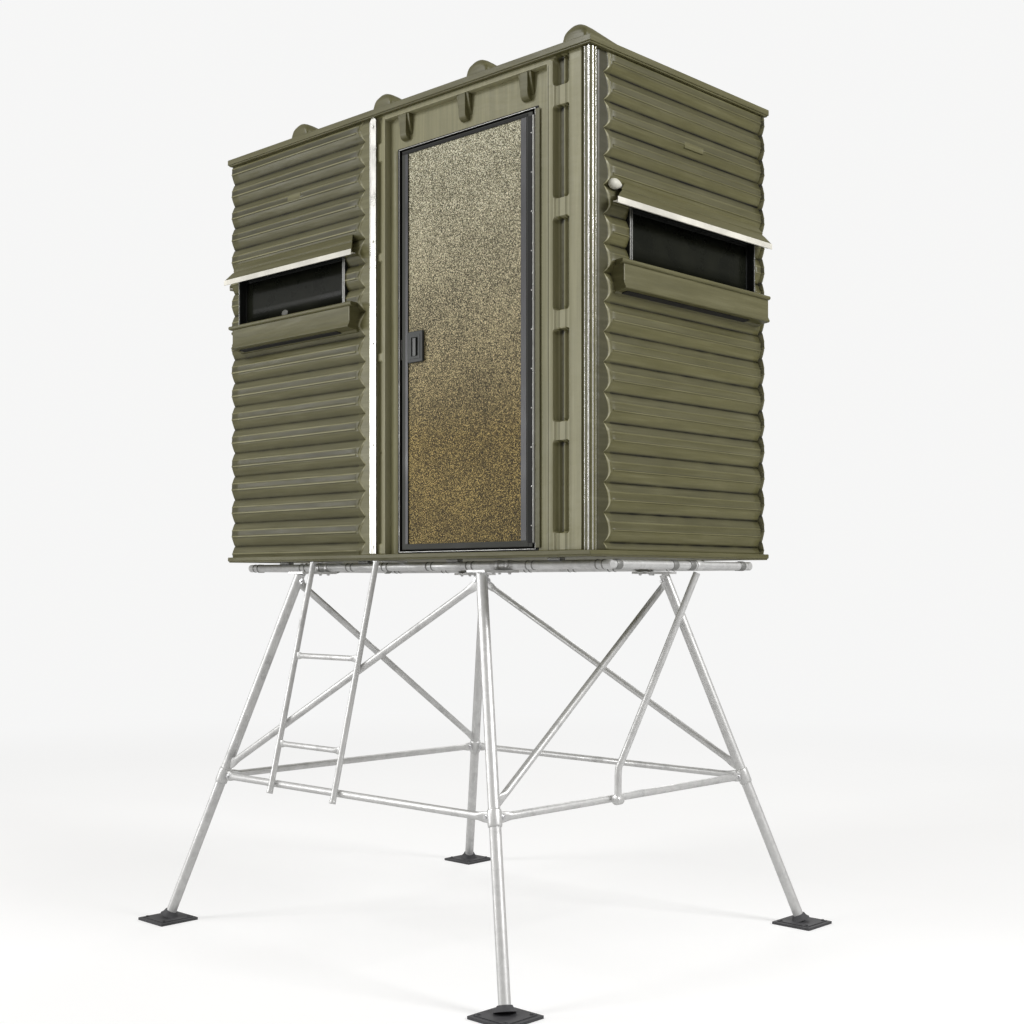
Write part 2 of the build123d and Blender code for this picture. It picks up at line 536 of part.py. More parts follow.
JAMB_CENTRE = ((JAMB_LEFT + JAMB_RIGHT) / 2, (JAMB_LOW + JAMB_HIGH) / 2)
JAMB_WIDE, JAMB_TALL = JAMB_RIGHT - JAMB_LEFT, JAMB_HIGH - JAMB_LOW
STOP_LAP = 23
with BuildPart() as jamb:
    with BuildSketch(elevation(FRONT, HALF_Y, RECESS_DEPTH + 2)):
        with Locations(JAMB_CENTRE):
            Rectangle(JAMB_WIDE + 2 * JAMB_WALL, JAMB_TALL + 2 * JAMB_WALL)
            Rectangle(JAMB_WIDE, JAMB_TALL, mode=Mode.SUBTRACT)
    extrude(amount=JAMB_BACK - RECESS_DEPTH - 2)
    with BuildSketch(elevation(FRONT, HALF_Y, RECESS_DEPTH + 0.1)):
        with Locations(JAMB_CENTRE):
            Rectangle(JAMB_WIDE + 2 * JAMB_WALL + 20, JAMB_TALL + 2 * JAMB_WALL + 8)
            Rectangle(JAMB_WIDE, JAMB_TALL, mode=Mode.SUBTRACT)
    extrude(amount=1.9)
    with BuildSketch(elevation(FRONT, HALF_Y, LEAF_BACK - 5)):
        with Locations(JAMB_CENTRE):
            Rectangle(JAMB_WIDE, JAMB_TALL)
            Rectangle(JAMB_WIDE - 2 * STOP_LAP, JAMB_TALL - 2 * STOP_LAP, mode=Mode.SUBTRACT)
    extrude(amount=JAMB_BACK - LEAF_BACK + 5)
write(jamb, "door_jamb")

with BuildPart() as seal:
    with BuildSketch(elevation(FRONT, HALF_Y, LEAF_BACK - 5)):
        with Locations(JAMB_CENTRE):
            Rectangle(JAMB_WIDE - 26, JAMB_TALL - 8)
            Rectangle(JAMB_WIDE - 44, JAMB_TALL - 34, mode=Mode.SUBTRACT)
    extrude(amount=4.6)
write(seal, "door_seal")

DOOR_CENTRE = ((DOOR_LEFT + DOOR_RIGHT) / 2, (DOOR_LOW + DOOR_HIGH) / 2)
SKIN_CENTRE = ((SKIN_LEFT + SKIN_RIGHT) / 2, (SKIN_LOW + SKIN_HIGH) / 2)
SKIN_WIDE, SKIN_TALL = SKIN_RIGHT - SKIN_LEFT, SKIN_HIGH - SKIN_LOW
BOLT_FRONT, BOLT_THICK, BOLT_TALL, BOLT_TIP, BOLT_LONG = -42, 12, 18, 52, 70
with BuildPart() as door_frame:
    with BuildSketch(elevation(FRONT, HALF_Y, LEAF_FRONT)):
        with Locations(DOOR_CENTRE):
            Rectangle(DOOR_RIGHT - DOOR_LEFT, DOOR_HIGH - DOOR_LOW)
        with Locations(SKIN_CENTRE):
            Rectangle(SKIN_WIDE, SKIN_TALL, mode=Mode.SUBTRACT)
    extrude(amount=LEAF_BACK - LEAF_FRONT)
    with BuildSketch(elevation(FRONT, HALF_Y, BOLT_FRONT + 0.3)):
        with Locations((SKIN_LEFT - 20, LATCH_Z)):
            Rectangle(60, BOLT_TALL + 0.6)
    extrude(amount=-BOLT_THICK - 0.6, mode=Mode.SUBTRACT)
write(door_frame, "door_frame")

with BuildPart() as skin:
    with BuildSketch(elevation(FRONT, HALF_Y, LEAF_FRONT - 4)):
        with Locations(SKIN_CENTRE):
            Rectangle(SKIN_WIDE - 0.4, SKIN_TALL - 0.4)
    extrude(amount=-4)
write(skin, "door_skin")

with BuildPart() as liner:
    with BuildSketch(elevation(FRONT, HALF_Y, LEAF_FRONT - 8.1)):
        with Locations(SKIN_CENTRE):
            Rectangle(SKIN_WIDE - 0.4, SKIN_TALL - 0.4)
    extrude(amount=LEAF_BACK - LEAF_FRONT + 8.1 + 1)
    bolt_room = BOLT_TIP + BOLT_LONG + 14 - SKIN_LEFT
    with BuildSketch(elevation(FRONT, HALF_Y, BOLT_FRONT + 0.3)):
        with Locations((SKIN_LEFT + bolt_room / 2, LATCH_Z)):
            Rectangle(bolt_room, BOLT_TALL + 0.6)
    extrude(amount=-BOLT_THICK - 0.6, mode=Mode.SUBTRACT)
write(liner, "door_liner")

# ---------------------------------------------------------------- door hinge
HINGE_LOW, HINGE_HIGH, KNUCKLES = 60, 1800, 5
KNUCKLE_PITCH = (HINGE_HIGH - HINGE_LOW) / KNUCKLES
HINGE_Y = -(HALF_Y + HINGE_DEPTH)
PLATE = 2
with BuildPart() as hinge_fixed:
    with BuildSketch(elevation(FRONT, HALF_Y, RECESS_DEPTH + 2.1)):
        with Locations(((HINGE_X + 6 + 895) / 2, (HINGE_LOW + HINGE_HIGH) / 2)):
            Rectangle(895 - HINGE_X - 6, HINGE_HIGH - HINGE_LOW)
    extrude(amount=3)
    for index in range(0, KNUCKLES, 2):
        low = BASE_Z + HINGE_LOW + index * KNUCKLE_PITCH + 0.5
        with BuildSketch(Plane.XY.offset(low)):
            with Locations((HINGE_X, HINGE_Y)):
                Circle(HINGE_ROUND)
            with Locations((HINGE_X + 3.5, HINGE_Y + 4.4)):
                Rectangle(7, 3)
            with Locations((HINGE_X, HINGE_Y)):
                Circle(PIN_ROUND + RUNNING_GAP, mode=Mode.SUBTRACT)
        extrude(amount=KNUCKLE_PITCH - 1)
write(hinge_fixed, "door_hinge_fixed")

with BuildPart() as hinge_moving:
    with BuildSketch(elevation(FRONT, HALF_Y, LEAF_FRONT + 0.1)):
        with Locations(((820 + HINGE_X - 6.1) / 2, (HINGE_LOW + HINGE_HIGH) / 2)):
            Rectangle(HINGE_X - 6.1 - 820, HINGE_HIGH - HINGE_LOW)
    extrude(amount=PLATE)
    for index in range(1, KNUCKLES, 2):
        low = BASE_Z + HINGE_LOW + index * KNUCKLE_PITCH + 0.5
        with BuildSketch(Plane.XY.offset(low)):
            with Locations((HINGE_X, HINGE_Y)):
                Circle(HINGE_ROUND)
            with Locations((HINGE_X - 3.5, HINGE_Y - PLATE / 2 - 0.1)):
                Rectangle(7, PLATE)
            with Locations((HINGE_X, HINGE_Y)):
                Circle(PIN_ROUND + RUNNING_GAP, mode=Mode.SUBTRACT)
        extrude(amount=KNUCKLE_PITCH - 1)
write(hinge_moving, "door_hinge_moving")

with BuildPart() as hinge_pin:
    with BuildSketch(Plane.XY.offset(BASE_Z + HINGE_LOW - 2)):
        with Locations((HINGE_X, HINGE_Y)):
            Circle(PIN_ROUND)
    extrude(amount=HINGE_HIGH - HINGE_LOW + 4)
write(hinge_pin, "door_hinge_pin")

# ---------------------------------------------------------------- door latch
PLATE_FACE = 14  # the latch plate stands this far off the skin
GRIP_WIDE, GRIP_TALL, GRIP_DEEP = 44, 84, 11
PADDLE_X, PADDLE_DEPTH, PADDLE_PIN = LATCH_X - GRIP_WIDE / 2 + 4.5, LEAF_FRONT + PLATE_FACE - 8.5, 1.5
PADDLE_Y = -(HALF_Y + PADDLE_DEPTH)
with BuildPart() as latch_plate:
    with BuildSketch(elevation(FRONT, HALF_Y, LEAF_FRONT - 4)):
        with Locations((LATCH_X, LATCH_Z)):
            RectangleRounded(LATCH_WIDE, LATCH_TALL, 6)
    extrude(amount=PLATE_FACE)
    chamfer(latch_plate.faces().sort_by(Axis.Y)[0].edges(), length=4)
    with BuildSketch(elevation(FRONT, HALF_Y, LEAF_FRONT - 4 + PLATE_FACE)):
        with Locations((LATCH_X, LATCH_Z)):
            RectangleRounded(GRIP_WIDE, GRIP_TALL, 4)
    extrude(amount=-GRIP_DEEP, mode=Mode.SUBTRACT)
    with BuildSketch(Plane.XY.offset(BASE_Z + LATCH_Z - GRIP_TALL / 2 - 8)):
        with Locations((PADDLE_X, PADDLE_Y)):
            Circle(PADDLE_PIN + RUNNING_GAP)
    extrude(amount=GRIP_TALL + 16, mode=Mode.SUBTRACT)
write(latch_plate, "latch_plate")

with BuildPart() as latch_pin:
    with BuildSketch(Plane.XY.offset(BASE_Z + LATCH_Z - GRIP_TALL / 2 - 7.5)):
        with Locations((PADDLE_X, PADDLE_Y)):
            Circle(PADDLE_PIN)
    extrude(amount=GRIP_TALL + 15)
write(latch_pin, "latch_pin")

with BuildPart() as paddle:
    with BuildSketch(Plane.XY.offset(BASE_Z + LATCH_Z - GRIP_TALL / 2 + 2)):
        with Locations((PADDLE_X, PADDLE_Y)):
            Circle(3)
        with Locations((PADDLE_X + 11, PADDLE_Y - 1.5)):
            Rectangle(22, 3)
        with Locations((PADDLE_X, PADDLE_Y)):
            Circle(PADDLE_PIN + RUNNING_GAP, mode=Mode.SUBTRACT)
    extrude(amount=GRIP_TALL - 4)
write(paddle, "latch_paddle")

with BuildPart() as bolt:
    with BuildSketch(elevation(FRONT, HALF_Y, BOLT_FRONT)):
        with Locations((BOLT_TIP + BOLT_LONG / 2, LATCH_Z)):
            Rectangle(BOLT_LONG, BOLT_TALL)
    extrude(amount=-BOLT_THICK)
write(bolt, "latch_bolt")

with BuildPart() as keeper:
    with BuildSketch(elevation(FRONT, HALF_Y, BOLT_FRONT + 4)):
        with Locations((JAMB_LEFT + 1.95, LATCH_Z)):
            Rectangle(3.7, 90)
    extrude(amount=-26)
write(keeper, "latch_keeper")
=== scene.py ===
import bpy
import bmesh
from collections import namedtuple
from functools import partial
from math import cos, hypot, pi, radians, sin
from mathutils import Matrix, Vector, noise


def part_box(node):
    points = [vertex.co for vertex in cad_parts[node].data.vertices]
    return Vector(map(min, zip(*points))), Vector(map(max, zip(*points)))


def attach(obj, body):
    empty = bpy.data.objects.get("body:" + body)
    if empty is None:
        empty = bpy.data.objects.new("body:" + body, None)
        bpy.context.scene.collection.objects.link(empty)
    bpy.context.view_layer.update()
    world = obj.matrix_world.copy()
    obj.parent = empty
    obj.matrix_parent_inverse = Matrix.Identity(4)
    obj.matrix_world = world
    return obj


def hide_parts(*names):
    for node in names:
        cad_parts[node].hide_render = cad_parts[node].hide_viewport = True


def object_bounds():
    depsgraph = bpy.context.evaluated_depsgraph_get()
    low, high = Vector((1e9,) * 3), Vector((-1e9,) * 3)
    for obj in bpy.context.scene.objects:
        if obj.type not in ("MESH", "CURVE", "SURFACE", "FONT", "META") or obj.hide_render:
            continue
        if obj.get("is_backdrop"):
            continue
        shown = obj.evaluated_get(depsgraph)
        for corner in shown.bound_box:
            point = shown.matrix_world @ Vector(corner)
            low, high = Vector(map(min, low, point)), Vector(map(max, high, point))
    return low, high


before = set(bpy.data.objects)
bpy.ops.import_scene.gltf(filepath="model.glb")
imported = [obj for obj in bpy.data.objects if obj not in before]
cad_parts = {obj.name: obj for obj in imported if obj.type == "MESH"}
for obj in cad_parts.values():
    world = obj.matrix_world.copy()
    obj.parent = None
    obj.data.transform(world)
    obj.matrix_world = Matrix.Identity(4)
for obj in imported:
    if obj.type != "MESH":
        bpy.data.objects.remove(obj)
CAD_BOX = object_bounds()

# ---- sizes, millimetres
UP = Vector((0, 0, 1))
FRONT, RIGHT, REAR, LEFT = Vector((0, -1, 0)), Vector((1, 0, 0)), Vector((0, 1, 0)), Vector((-1, 0, 0))
HALF_X, HALF_Y = 1189, 607  # outermost face of the ribs
BASE_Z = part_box("floor_tray")[0][2] * 1000
TOP_Z = BASE_Z + 2032
WALL_LOW, WALL_HIGH = 26, 2022
WINDOW_LOW, WINDOW_HIGH = 1185, 1421
BORDER_DEPTH = -12  # flat border round the ribs
SHEET = 4  # thickness of a wall panel and of a pane
SHORT_WALLS = ("right", "left")


def rib_valleys(*runs):
    """Heights of the valleys between ribs, from runs of (start, pitch, first, last)."""
    return [start + pitch * k for start, pitch, first, last in runs for k in range(first, last)]


LONG_VALLEYS = rib_valleys((81, 118, -1, 9), (1025, 110.75, 1, 11))
SHORT_VALLEYS = rib_valleys((56, 119.25, -1, 9), (1010, 115.6, 1, 6), (1588, 110, 1, 5))

# ends, crest_end and valley_end lie along the wall. window, hood and sill are (centre, width).
Wall = namedtuple("Wall", "outward reach ends crest_end valley_end valleys window hood sill")
WALLS = {
    "front": Wall(FRONT, HALF_Y, (-1189, -102), -203, -163, LONG_VALLEYS,
                  window=(-712, 831), hood=(-675, 990), sill=(-661, 948)),
    "right": Wall(RIGHT, HALF_X, (-558, 579), -480, -512, SHORT_VALLEYS,
                  window=(85, 891), hood=(35, 1088), sill=(46, 1044)),
    "left": Wall(LEFT, HALF_X, (-579, 579), -480, -512, SHORT_VALLEYS,
                 window=(85, 891), hood=(35, 1088), sill=(46, 1044)),
    "rear_right": Wall(REAR, HALF_Y, (102, 1189), 203, 163, LONG_VALLEYS,
                       window=(712, 831), hood=(675, 990), sill=(661, 948)),
    "rear_left": Wall(REAR, HALF_Y, (-1189, 98), -3, 37, LONG_VALLEYS,
                      window=(-587, 891), hood=(-587, 1088), sill=(-587, 1044)),
}


def spot(name, u, v, d):
    """Point of a wall in metres: u to the right, v up from the tray's underside, d outward of the ribs."""
    wall = WALLS[name]
    return (wall.outward * (wall.reach + d) + UP.cross(wall.outward) * u + UP * (BASE_Z + v)) / 1000


def metres(*values):
    return Vector(values) / 1000


def span(centre, width):
    return centre - width / 2, centre + width / 2


def inset(box, amount):
    """Rectangle (u0, u1, v0, v1) drawn in on all four sides."""
    return box[0] + amount, box[1] - amount, box[2] + amount, box[3] - amount


def steps(low, high, size):
    count = max(1, round((high - low) / size))
    return [low + (high - low) * k / count for k in range(count + 1)]


def merged(*lists):
    """Sorted positions with near doubles left out."""
    values = sorted(v for part in lists for v in part)
    kept = [values[0]]
    for value in values[1:]:
        if value - kept[-1] > 0.4:
            kept.append(value)
    return kept


def ease(x):
    """Smooth step from 0 to 1."""
    x = min(max(x, 0.0), 1.0)
    return x * x * (3 - 2 * x)


def peak(offset, width):
    """1 at no offset, falling evenly to 0 at the width."""
    return max(0, 1 - abs(offset) / width)


def inside(u, v, box, radius):
    """Distance inside a rounded rectangle, negative outside it."""
    du = max(box[0] - u, u - box[1]) + radius
    dv = max(box[2] - v, v - box[3]) + radius
    return radius - hypot(max(du, 0), max(dv, 0)) - min(max(du, dv), 0)


# ---- meshes
def placed(name, data):
    """New object in the scene for a mesh, lamp or camera."""
    made = bpy.data.objects.new(name, data)
    bpy.context.scene.collection.objects.link(made)
    return made


def finish_mesh(name, bm, material, angle, bevel=0.0, body="stand", replaces=None, slot=None, segments=2):
    """Turns a bmesh into a piece with its finish and bevel, riding on a body of the frame."""
    bmesh.ops.recalc_face_normals(bm, faces=bm.faces)
    mesh = bpy.data.meshes.new(name)
    bm.to_mesh(mesh)
    bm.free()
    for face in mesh.polygons:
        face.use_smooth = True
    piece = placed(name, mesh)
    mesh.materials.append(material)
    if bevel:
        modifier = piece.modifiers.new("bevel", "BEVEL")
        modifier.width = bevel / 1000
        modifier.segments = segments
        modifier.limit_method = "ANGLE"
        modifier.angle_limit = radians(30)
        modifier.harden_normals = True
    mesh.set_sharp_from_angle(angle=radians(angle))
    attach(piece, body)
    if replaces:
        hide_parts(replaces)
    slot or material.name.removesuffix("_finish")
    return piece


def thicken(sheet, offset):
    """Gives a sheet its thickness: offset 0 is to both sides, -1 is behind its normals and 1 before them."""
    solid = sheet.modifiers.new("thickness", "SOLIDIFY")
    solid.thickness = SHEET / 1000
    solid.offset = offset


def thicken_inward(panel, outward):
    thicken(panel, 1.0 if panel.data.polygons[0].normal.dot(outward) < 0 else -1.0)


def heightfield(bm, place, us, vs, depth, painted_light=None, hole=None):
    """Grid over a wall whose depth and painted light and shade come from functions, with a rectangular hole
    left out.
    """
    layer = bm.verts.layers.float.new("painted_light")
    grid = [[bm.verts.new(place(u, v, depth(u, v))) for u in us] for v in vs]
    if painted_light:
        for row, v in zip(grid, vs):
            for vert, u in zip(row, us):
                vert[layer] = painted_light(u, v)
    for j in range(len(vs) - 1):
        for i in range(len(us) - 1):
            u, v = (us[i] + us[i + 1]) / 2, (vs[j] + vs[j + 1]) / 2
            if hole and hole[0] < u < hole[1] and hole[2] < v < hole[3]:
                continue
            bm.faces.new((grid[j][i], grid[j][i + 1], grid[j + 1][i + 1], grid[j + 1][i]))
    for vert in [v for v in bm.verts if not v.link_faces]:
        bm.verts.remove(vert)


def bridge(bm, low, high):
    """Closed solid between two outlines with the same number of points."""
    bm.faces.new(low)
    bm.faces.new(high[::-1])
    for i in range(len(low)):
        j = (i + 1) % len(low)
        bm.faces.new((low[i], high[i], high[j], low[j]))


def prism(bm, outline, shift):
    """Closed prism: an outline of points in metres, and the same moved by a vector."""
    bridge(bm, [bm.verts.new(p) for p in outline], [bm.verts.new(p + shift) for p in outline])


def wall_prism(bm, name, outline, u0, u1, taper=(0, 0)):
    """Prism along a wall with an outline of (depth, height) points.

    Its ends draw in by the taper, from nothing at the outermost depth to all of it at depth 0.
    """
    reach = max(d for d, _ in outline)
    low = [bm.verts.new(spot(name, u0 + taper[0] * (reach - d) / reach, v, d)) for d, v in outline]
    high = [bm.verts.new(spot(name, u1 - taper[1] * (reach - d) / reach, v, d)) for d, v in outline]
    bridge(bm, low, high)


def wall_block(bm, name, u0, u1, v0, v1, d0, d1):
    wall_prism(bm, name, [(d0, v0), (d1, v0), (d1, v1), (d0, v1)], u0, u1)


def block(bm, low, high):
    """Box between two corners in millimetres, for a bevel to round."""
    x0, y0, z0 = low
    x1, y1, z1 = high
    prism(bm, [metres(x0, y0, z0), metres(x1, y0, z0), metres(x1, y1, z0), metres(x0, y1, z0)],
          metres(0, 0, z1) - metres(0, 0, z0))


def ring(bm, place, outer, inner, d0, d1):
    """Rectangular ring between two rectangles, front d0 and back d1."""
    loops = []
    for u0, u1, v0, v1 in (outer, inner):
        for d in (d0, d1):
            loops.append([bm.verts.new(place(u, v, d)) for u, v in ((u0, v0), (u1, v0), (u1, v1), (u0, v1))])
    outer_front, outer_back, inner_front, inner_back = loops
    for i in range(4):
        j = (i + 1) % 4
        bm.faces.new((outer_front[i], outer_front[j], inner_front[j], inner_front[i]))
        bm.faces.new((outer_back[j], outer_back[i], inner_back[i], inner_back[j]))
        bm.faces.new((outer_front[j], outer_front[i], outer_back[i], outer_back[j]))
        bm.faces.new((inner_front[i], inner_front[j], inner_back[j], inner_back[i]))


def moulding(name, wall, outline, ends, material, bevel, taper=(0, 0), **marks):
    """Piece with one outline of (depth, height), run along a wall."""
    bm = bmesh.new()
    wall_prism(bm, wall, outline, *ends, taper)
    finish_mesh(name, bm, material, 30, bevel, **marks)


def wall_blocks(name, wall, boxes, material, bevel, **marks):
    """Piece made of blocks on a wall, each (u0, u1, v0, v1, d0, d1)."""
    bm = bmesh.new()
    for box in boxes:
        wall_block(bm, wall, *box)
    finish_mesh(name, bm, material, 30, bevel, **marks)


def wall_ring(name, wall, outer, inner, depths, material, bevel, **marks):
    """Piece that is one rectangular ring on a wall."""
    bm = bmesh.new()
    ring(bm, partial(spot, wall), outer, inner, *depths)
    finish_mesh(name, bm, material, 30, bevel, **marks)


def sweep(bm, points, radii, sides=20, across=None):
    """Tube through points in millimetres. radii are (wide, thin) pairs, and across is the wide direction."""
    points = [Vector(p) / 1000 for p in points]
    rings = []
    for i, point in enumerate(points):
        ahead = points[min(i + 1, len(points) - 1)] - points[max(i - 1, 0)]
        ahead.normalize()
        side = Vector(across) if across else (UP if abs(ahead.z) < 0.9 else Vector((1, 0, 0)))
        side = (side - ahead * side.dot(ahead)).normalized()
        other = ahead.cross(side)
        wide, thin = radii[i]
        rings.append([
            bm.verts.new(point + (side * cos(a) * wide + other * sin(a) * thin) / 1000)
            for a in (2 * pi * k / sides for k in range(sides))
        ])
    for first, second in zip(rings, rings[1:]):
        for k in range(sides):
            bm.faces.new((first[k], first[(k + 1) % sides], second[(k + 1) % sides], second[k]))
    bm.faces.new(rings[0][::-1])
    bm.faces.new(rings[-1])


def rod(bm, start, end, radius, sides=20):
    """Straight round tube with plain ends."""
    sweep(bm, [start, end], [(radius, radius)] * 2, sides)


PRESSED = ((0, 1), (0.45, 1), (0.7, 0.75), (0.9, 0.3), (1.15, 0))  # share of the pressed length, flatness


def pressed_tube(bm, start, end, radius, pressed):
    """Straight tube whose ends are pressed flat over a length, to a wide upright tongue."""
    start, end = Vector(start), Vector(end)
    length = (end - start).length
    aim = (end - start) / length
    stations = [(pressed * share, flat) for share, flat in PRESSED]
    stations += [(length - pressed * share, flat) for share, flat in reversed(PRESSED)]
    sweep(bm, [start + aim * s for s, _ in stations],
          [(radius * (1 + 0.38 * flat), radius * (1 - flat) + 4.0 * flat) for _, flat in stations], across=UP)


def collar(bm, centre, aim, outer, length, inner):
    """Short rounded sleeve around an axis."""
    centre, aim = Vector(centre), Vector(aim).normalized()
    stations = ((-0.5, 0.0), (-0.46, 0.75), (-0.38, 1), (0.38, 1), (0.46, 0.75), (0.5, 0.0))
    sweep(bm, [centre + aim * length * s for s, _ in stations],
          [(inner + (outer - inner) * full,) * 2 for _, full in stations], sides=24)


def bolt(bm, place, aim, size, tall):
    """Hexagon head on a washer."""
    place, aim = Vector(place), Vector(aim).normalized()
    washer = 1.6
    rod(bm, place, place + aim * washer, size * 1.45)
    sweep(bm, [place + aim * washer, place + aim * (washer + tall * 0.8), place + aim * (washer + tall)],
          [(size,) * 2, (size,) * 2, (size * 0.82,) * 2], sides=6)


# ---- materials
def put(tree, value, socket):
    """Sets a socket to a number, a colour or a scale, or links another socket to it."""
    if isinstance(value, (int, float)):
        socket.default_value = value
    elif isinstance(value, tuple):
        socket.default_value = value if socket.type == "VECTOR" else (*value, 1)
    else:
        tree.links.new(value, socket)


def node(tree, kind, inputs, **settings):
    """New shader node with its settings, and its inputs set or linked. Returns its outputs."""
    made = tree.nodes.new(f"ShaderNode{kind}")
    for setting, value in settings.items():
        setattr(made, setting, value)
    for key, value in inputs.items():
        put(tree, value, made.inputs[key])
    return made.outputs


def material(name, colour, roughness=0.5, metallic=0.0):
    """New node material: returns it with its node tree, shader and object coordinates."""
    made = bpy.data.materials.new(f"{name}_finish")
    made.use_nodes = True
    tree = made.node_tree
    shader = tree.nodes["Principled BSDF"]
    shader.inputs["Base Color"].default_value = (*colour, 1)
    shader.inputs["Roughness"].default_value = roughness
    shader.inputs["Metallic"].default_value = metallic
    return made, tree, shader, node(tree, "TexCoord", {})["Object"]


def dress(tree, shader, colour, roughness, specular=None):
    """Gives a shader its colour and roughness, and its own specular level."""
    put(tree, colour, shader.inputs["Base Color"])
    put(tree, roughness, shader.inputs["Roughness"])
    if specular is not None:
        shader.inputs["Specular IOR Level"].default_value = specular


def arithmetic(tree, operation, *values):
    return node(tree, "Math", dict(enumerate(values)), operation=operation)[0]


def ranged(tree, source, low, high, top=1.0, kind="LINEAR"):
    """Turns low to high into 0 to top."""
    return node(tree, "MapRange", {"Value": source, "From Min": low, "From Max": high, "To Max": top},
                interpolation_type=kind)[0]


def stretched(tree, source, scale):
    return node(tree, "Mapping", {"Vector": source, "Scale": scale})["Vector"]


def speckle(tree, source, scale, detail=3.0, rough=0.55):
    amounts = {"Vector": source, "Scale": scale, "Detail": detail, "Roughness": rough}
    return node(tree, "TexNoise", amounts)["Fac"]


def ramp(tree, source, *stops):
    """Colour ramp: stops are (position, colour or grey value)."""
    made = tree.nodes.new("ShaderNodeValToRGB")
    elements = made.color_ramp.elements
    while len(elements) < len(stops):
        elements.new(0.5)
    for element, (position, colour) in zip(elements, stops):
        element.position = position
        element.color = (*colour, 1) if hasattr(colour, "__len__") else (colour, colour, colour, 1)
    tree.links.new(source, made.inputs["Fac"])
    return made.outputs["Color"]


def blend_colour(tree, factor, first, second, mode="MIX"):
    return node(tree, "Mix", {0: factor, 6: first, 7: second}, data_type="RGBA", blend_type=mode)[2]


def mix_shader(tree, factor, first, second):
    return node(tree, "MixShader", {0: factor, 1: first, 2: second})[0]


def bump(tree, shader, height, strength, distance):
    made = node(tree, "Bump", {"Height": height, "Strength": strength, "Distance": distance})
    tree.links.new(made["Normal"], shader.inputs["Normal"])


def light_and_shade_colour(tree, plain):
    """Lightens or darkens a colour by the painted highlights and painted shade that the mesh carries as a
    vertex attribute, and turns it chalky cream-grey where the painted highlight is strongest.
    """
    painted_light = node(tree, "Attribute", {}, attribute_name="painted_light")["Fac"]
    amount = arithmetic(tree, "MULTIPLY_ADD", painted_light, 1.1, 1.0)
    grey = node(tree, "CombineColor", {0: amount, 1: amount, 2: amount})[0]
    shaded = blend_colour(tree, 1.0, plain, grey, "MULTIPLY")
    rub_marks_and_highlight = ranged(tree, painted_light, 0.3, 2.0, 0.85)
    return blend_colour(tree, rub_marks_and_highlight, shaded, (0.40, 0.385, 0.30))


def plastic(name, stretch):
    """Moulded olive plastic: faint flow streaks one way, dusty patches, a fine grain, and painted highlights
    on crests and painted shade from the mesh's vertex attribute.
    """
    made, tree, shader, coords = material(name, (0.13, 0.125, 0.075), 0.42)
    streaks = speckle(tree, stretched(tree, coords, stretch), 2.2, 5, 0.6)
    patches = speckle(tree, coords, 3.1, 4)
    tone = ramp(tree, streaks, (0.3, (0.092, 0.086, 0.033)), (0.52, (0.115, 0.107, 0.044)),
                (0.75, (0.155, 0.146, 0.070)))
    dust = ramp(tree, patches, (0.42, 0.0), (0.8, 0.35))
    plain = blend_colour(tree, dust, tone, (0.145, 0.136, 0.070))
    dress(tree, shader, light_and_shade_colour(tree, plain), ramp(tree, patches, (0.3, 0.36), (0.7, 0.5)), 0.42)
    grain = speckle(tree, coords, 260, 2)
    waves = speckle(tree, stretched(tree, coords, (1.5, 1.5, 5)), 4.0, 2)
    bump(tree, shader, arithmetic(tree, "MULTIPLY_ADD", grain, 0.06, waves), 0.55, 0.006)
    return made


def zinc(name, colour, roughness, metallic):
    """Zinc coat: soft crystalline blotches, duller streaks and a few darker runs."""
    made, tree, shader, coords = material(name, colour, roughness, metallic)
    cells = node(tree, "TexVoronoi", {"Vector": coords, "Scale": 46})["Color"]
    cloud = speckle(tree, coords, 9, 5, 0.65)
    bright = tuple(min(1, c * 1.12) for c in colour)
    dark = tuple(c * 0.72 for c in colour)
    tone = ramp(tree, cloud, (0.28, dark), (0.42, colour), (0.7, bright))
    flakes = ramp(tree, cells, (0.0, 0.82), (1.0, 1.0))
    dull = ramp(tree, cloud, (0.3, roughness + 0.16), (0.65, roughness - 0.06))
    dress(tree, shader, blend_colour(tree, 0.7, tone, flakes, "MULTIPLY"), dull)
    bump(tree, shader, speckle(tree, coords, 60, 3), 0.12, 0.0015)
    return made


def trim():
    """Mill-finish aluminium: long draw lines and a few rub marks."""
    made, tree, shader, coords = material("bare_aluminium", (0.9, 0.9, 0.9), 0.3, 0.9)
    lines = speckle(tree, stretched(tree, coords, (90, 90, 1.2)), 3.0, 4)
    marks = speckle(tree, coords, 14, 4, 0.7)
    tone = ramp(tree, lines, (0.25, (0.62, 0.61, 0.56)), (0.5, (0.80, 0.79, 0.745)),
                (0.8, (0.88, 0.87, 0.83)))
    rub_marks_and_highlight = ramp(tree, marks, (0.6, 0.0), (0.75, 0.5))
    dull = ramp(tree, marks, (0.3, 0.24), (0.7, 0.42))
    dress(tree, shader, blend_colour(tree, rub_marks_and_highlight, tone, (0.5, 0.48, 0.44)), dull)
    bump(tree, shader, lines, 0.1, 0.001)
    return made


def coated(name, colour, roughness=0.42, grain=420, strength=0.3, specular=0.5):
    """Powder coat or moulded surface: fine orange peel and slight fading."""
    made, tree, shader, coords = material(name, colour, roughness)
    fade = speckle(tree, coords, 5, 4)
    pale = tuple(min(1, c * 1.45 + 0.004) for c in colour)
    dull = ramp(tree, fade, (0.3, roughness - 0.07), (0.7, roughness + 0.08))
    dress(tree, shader, ramp(tree, fade, (0.35, colour), (0.75, pale)), dull, specular)
    bump(tree, shader, speckle(tree, coords, grain, 3), strength, 0.0008)
    return made


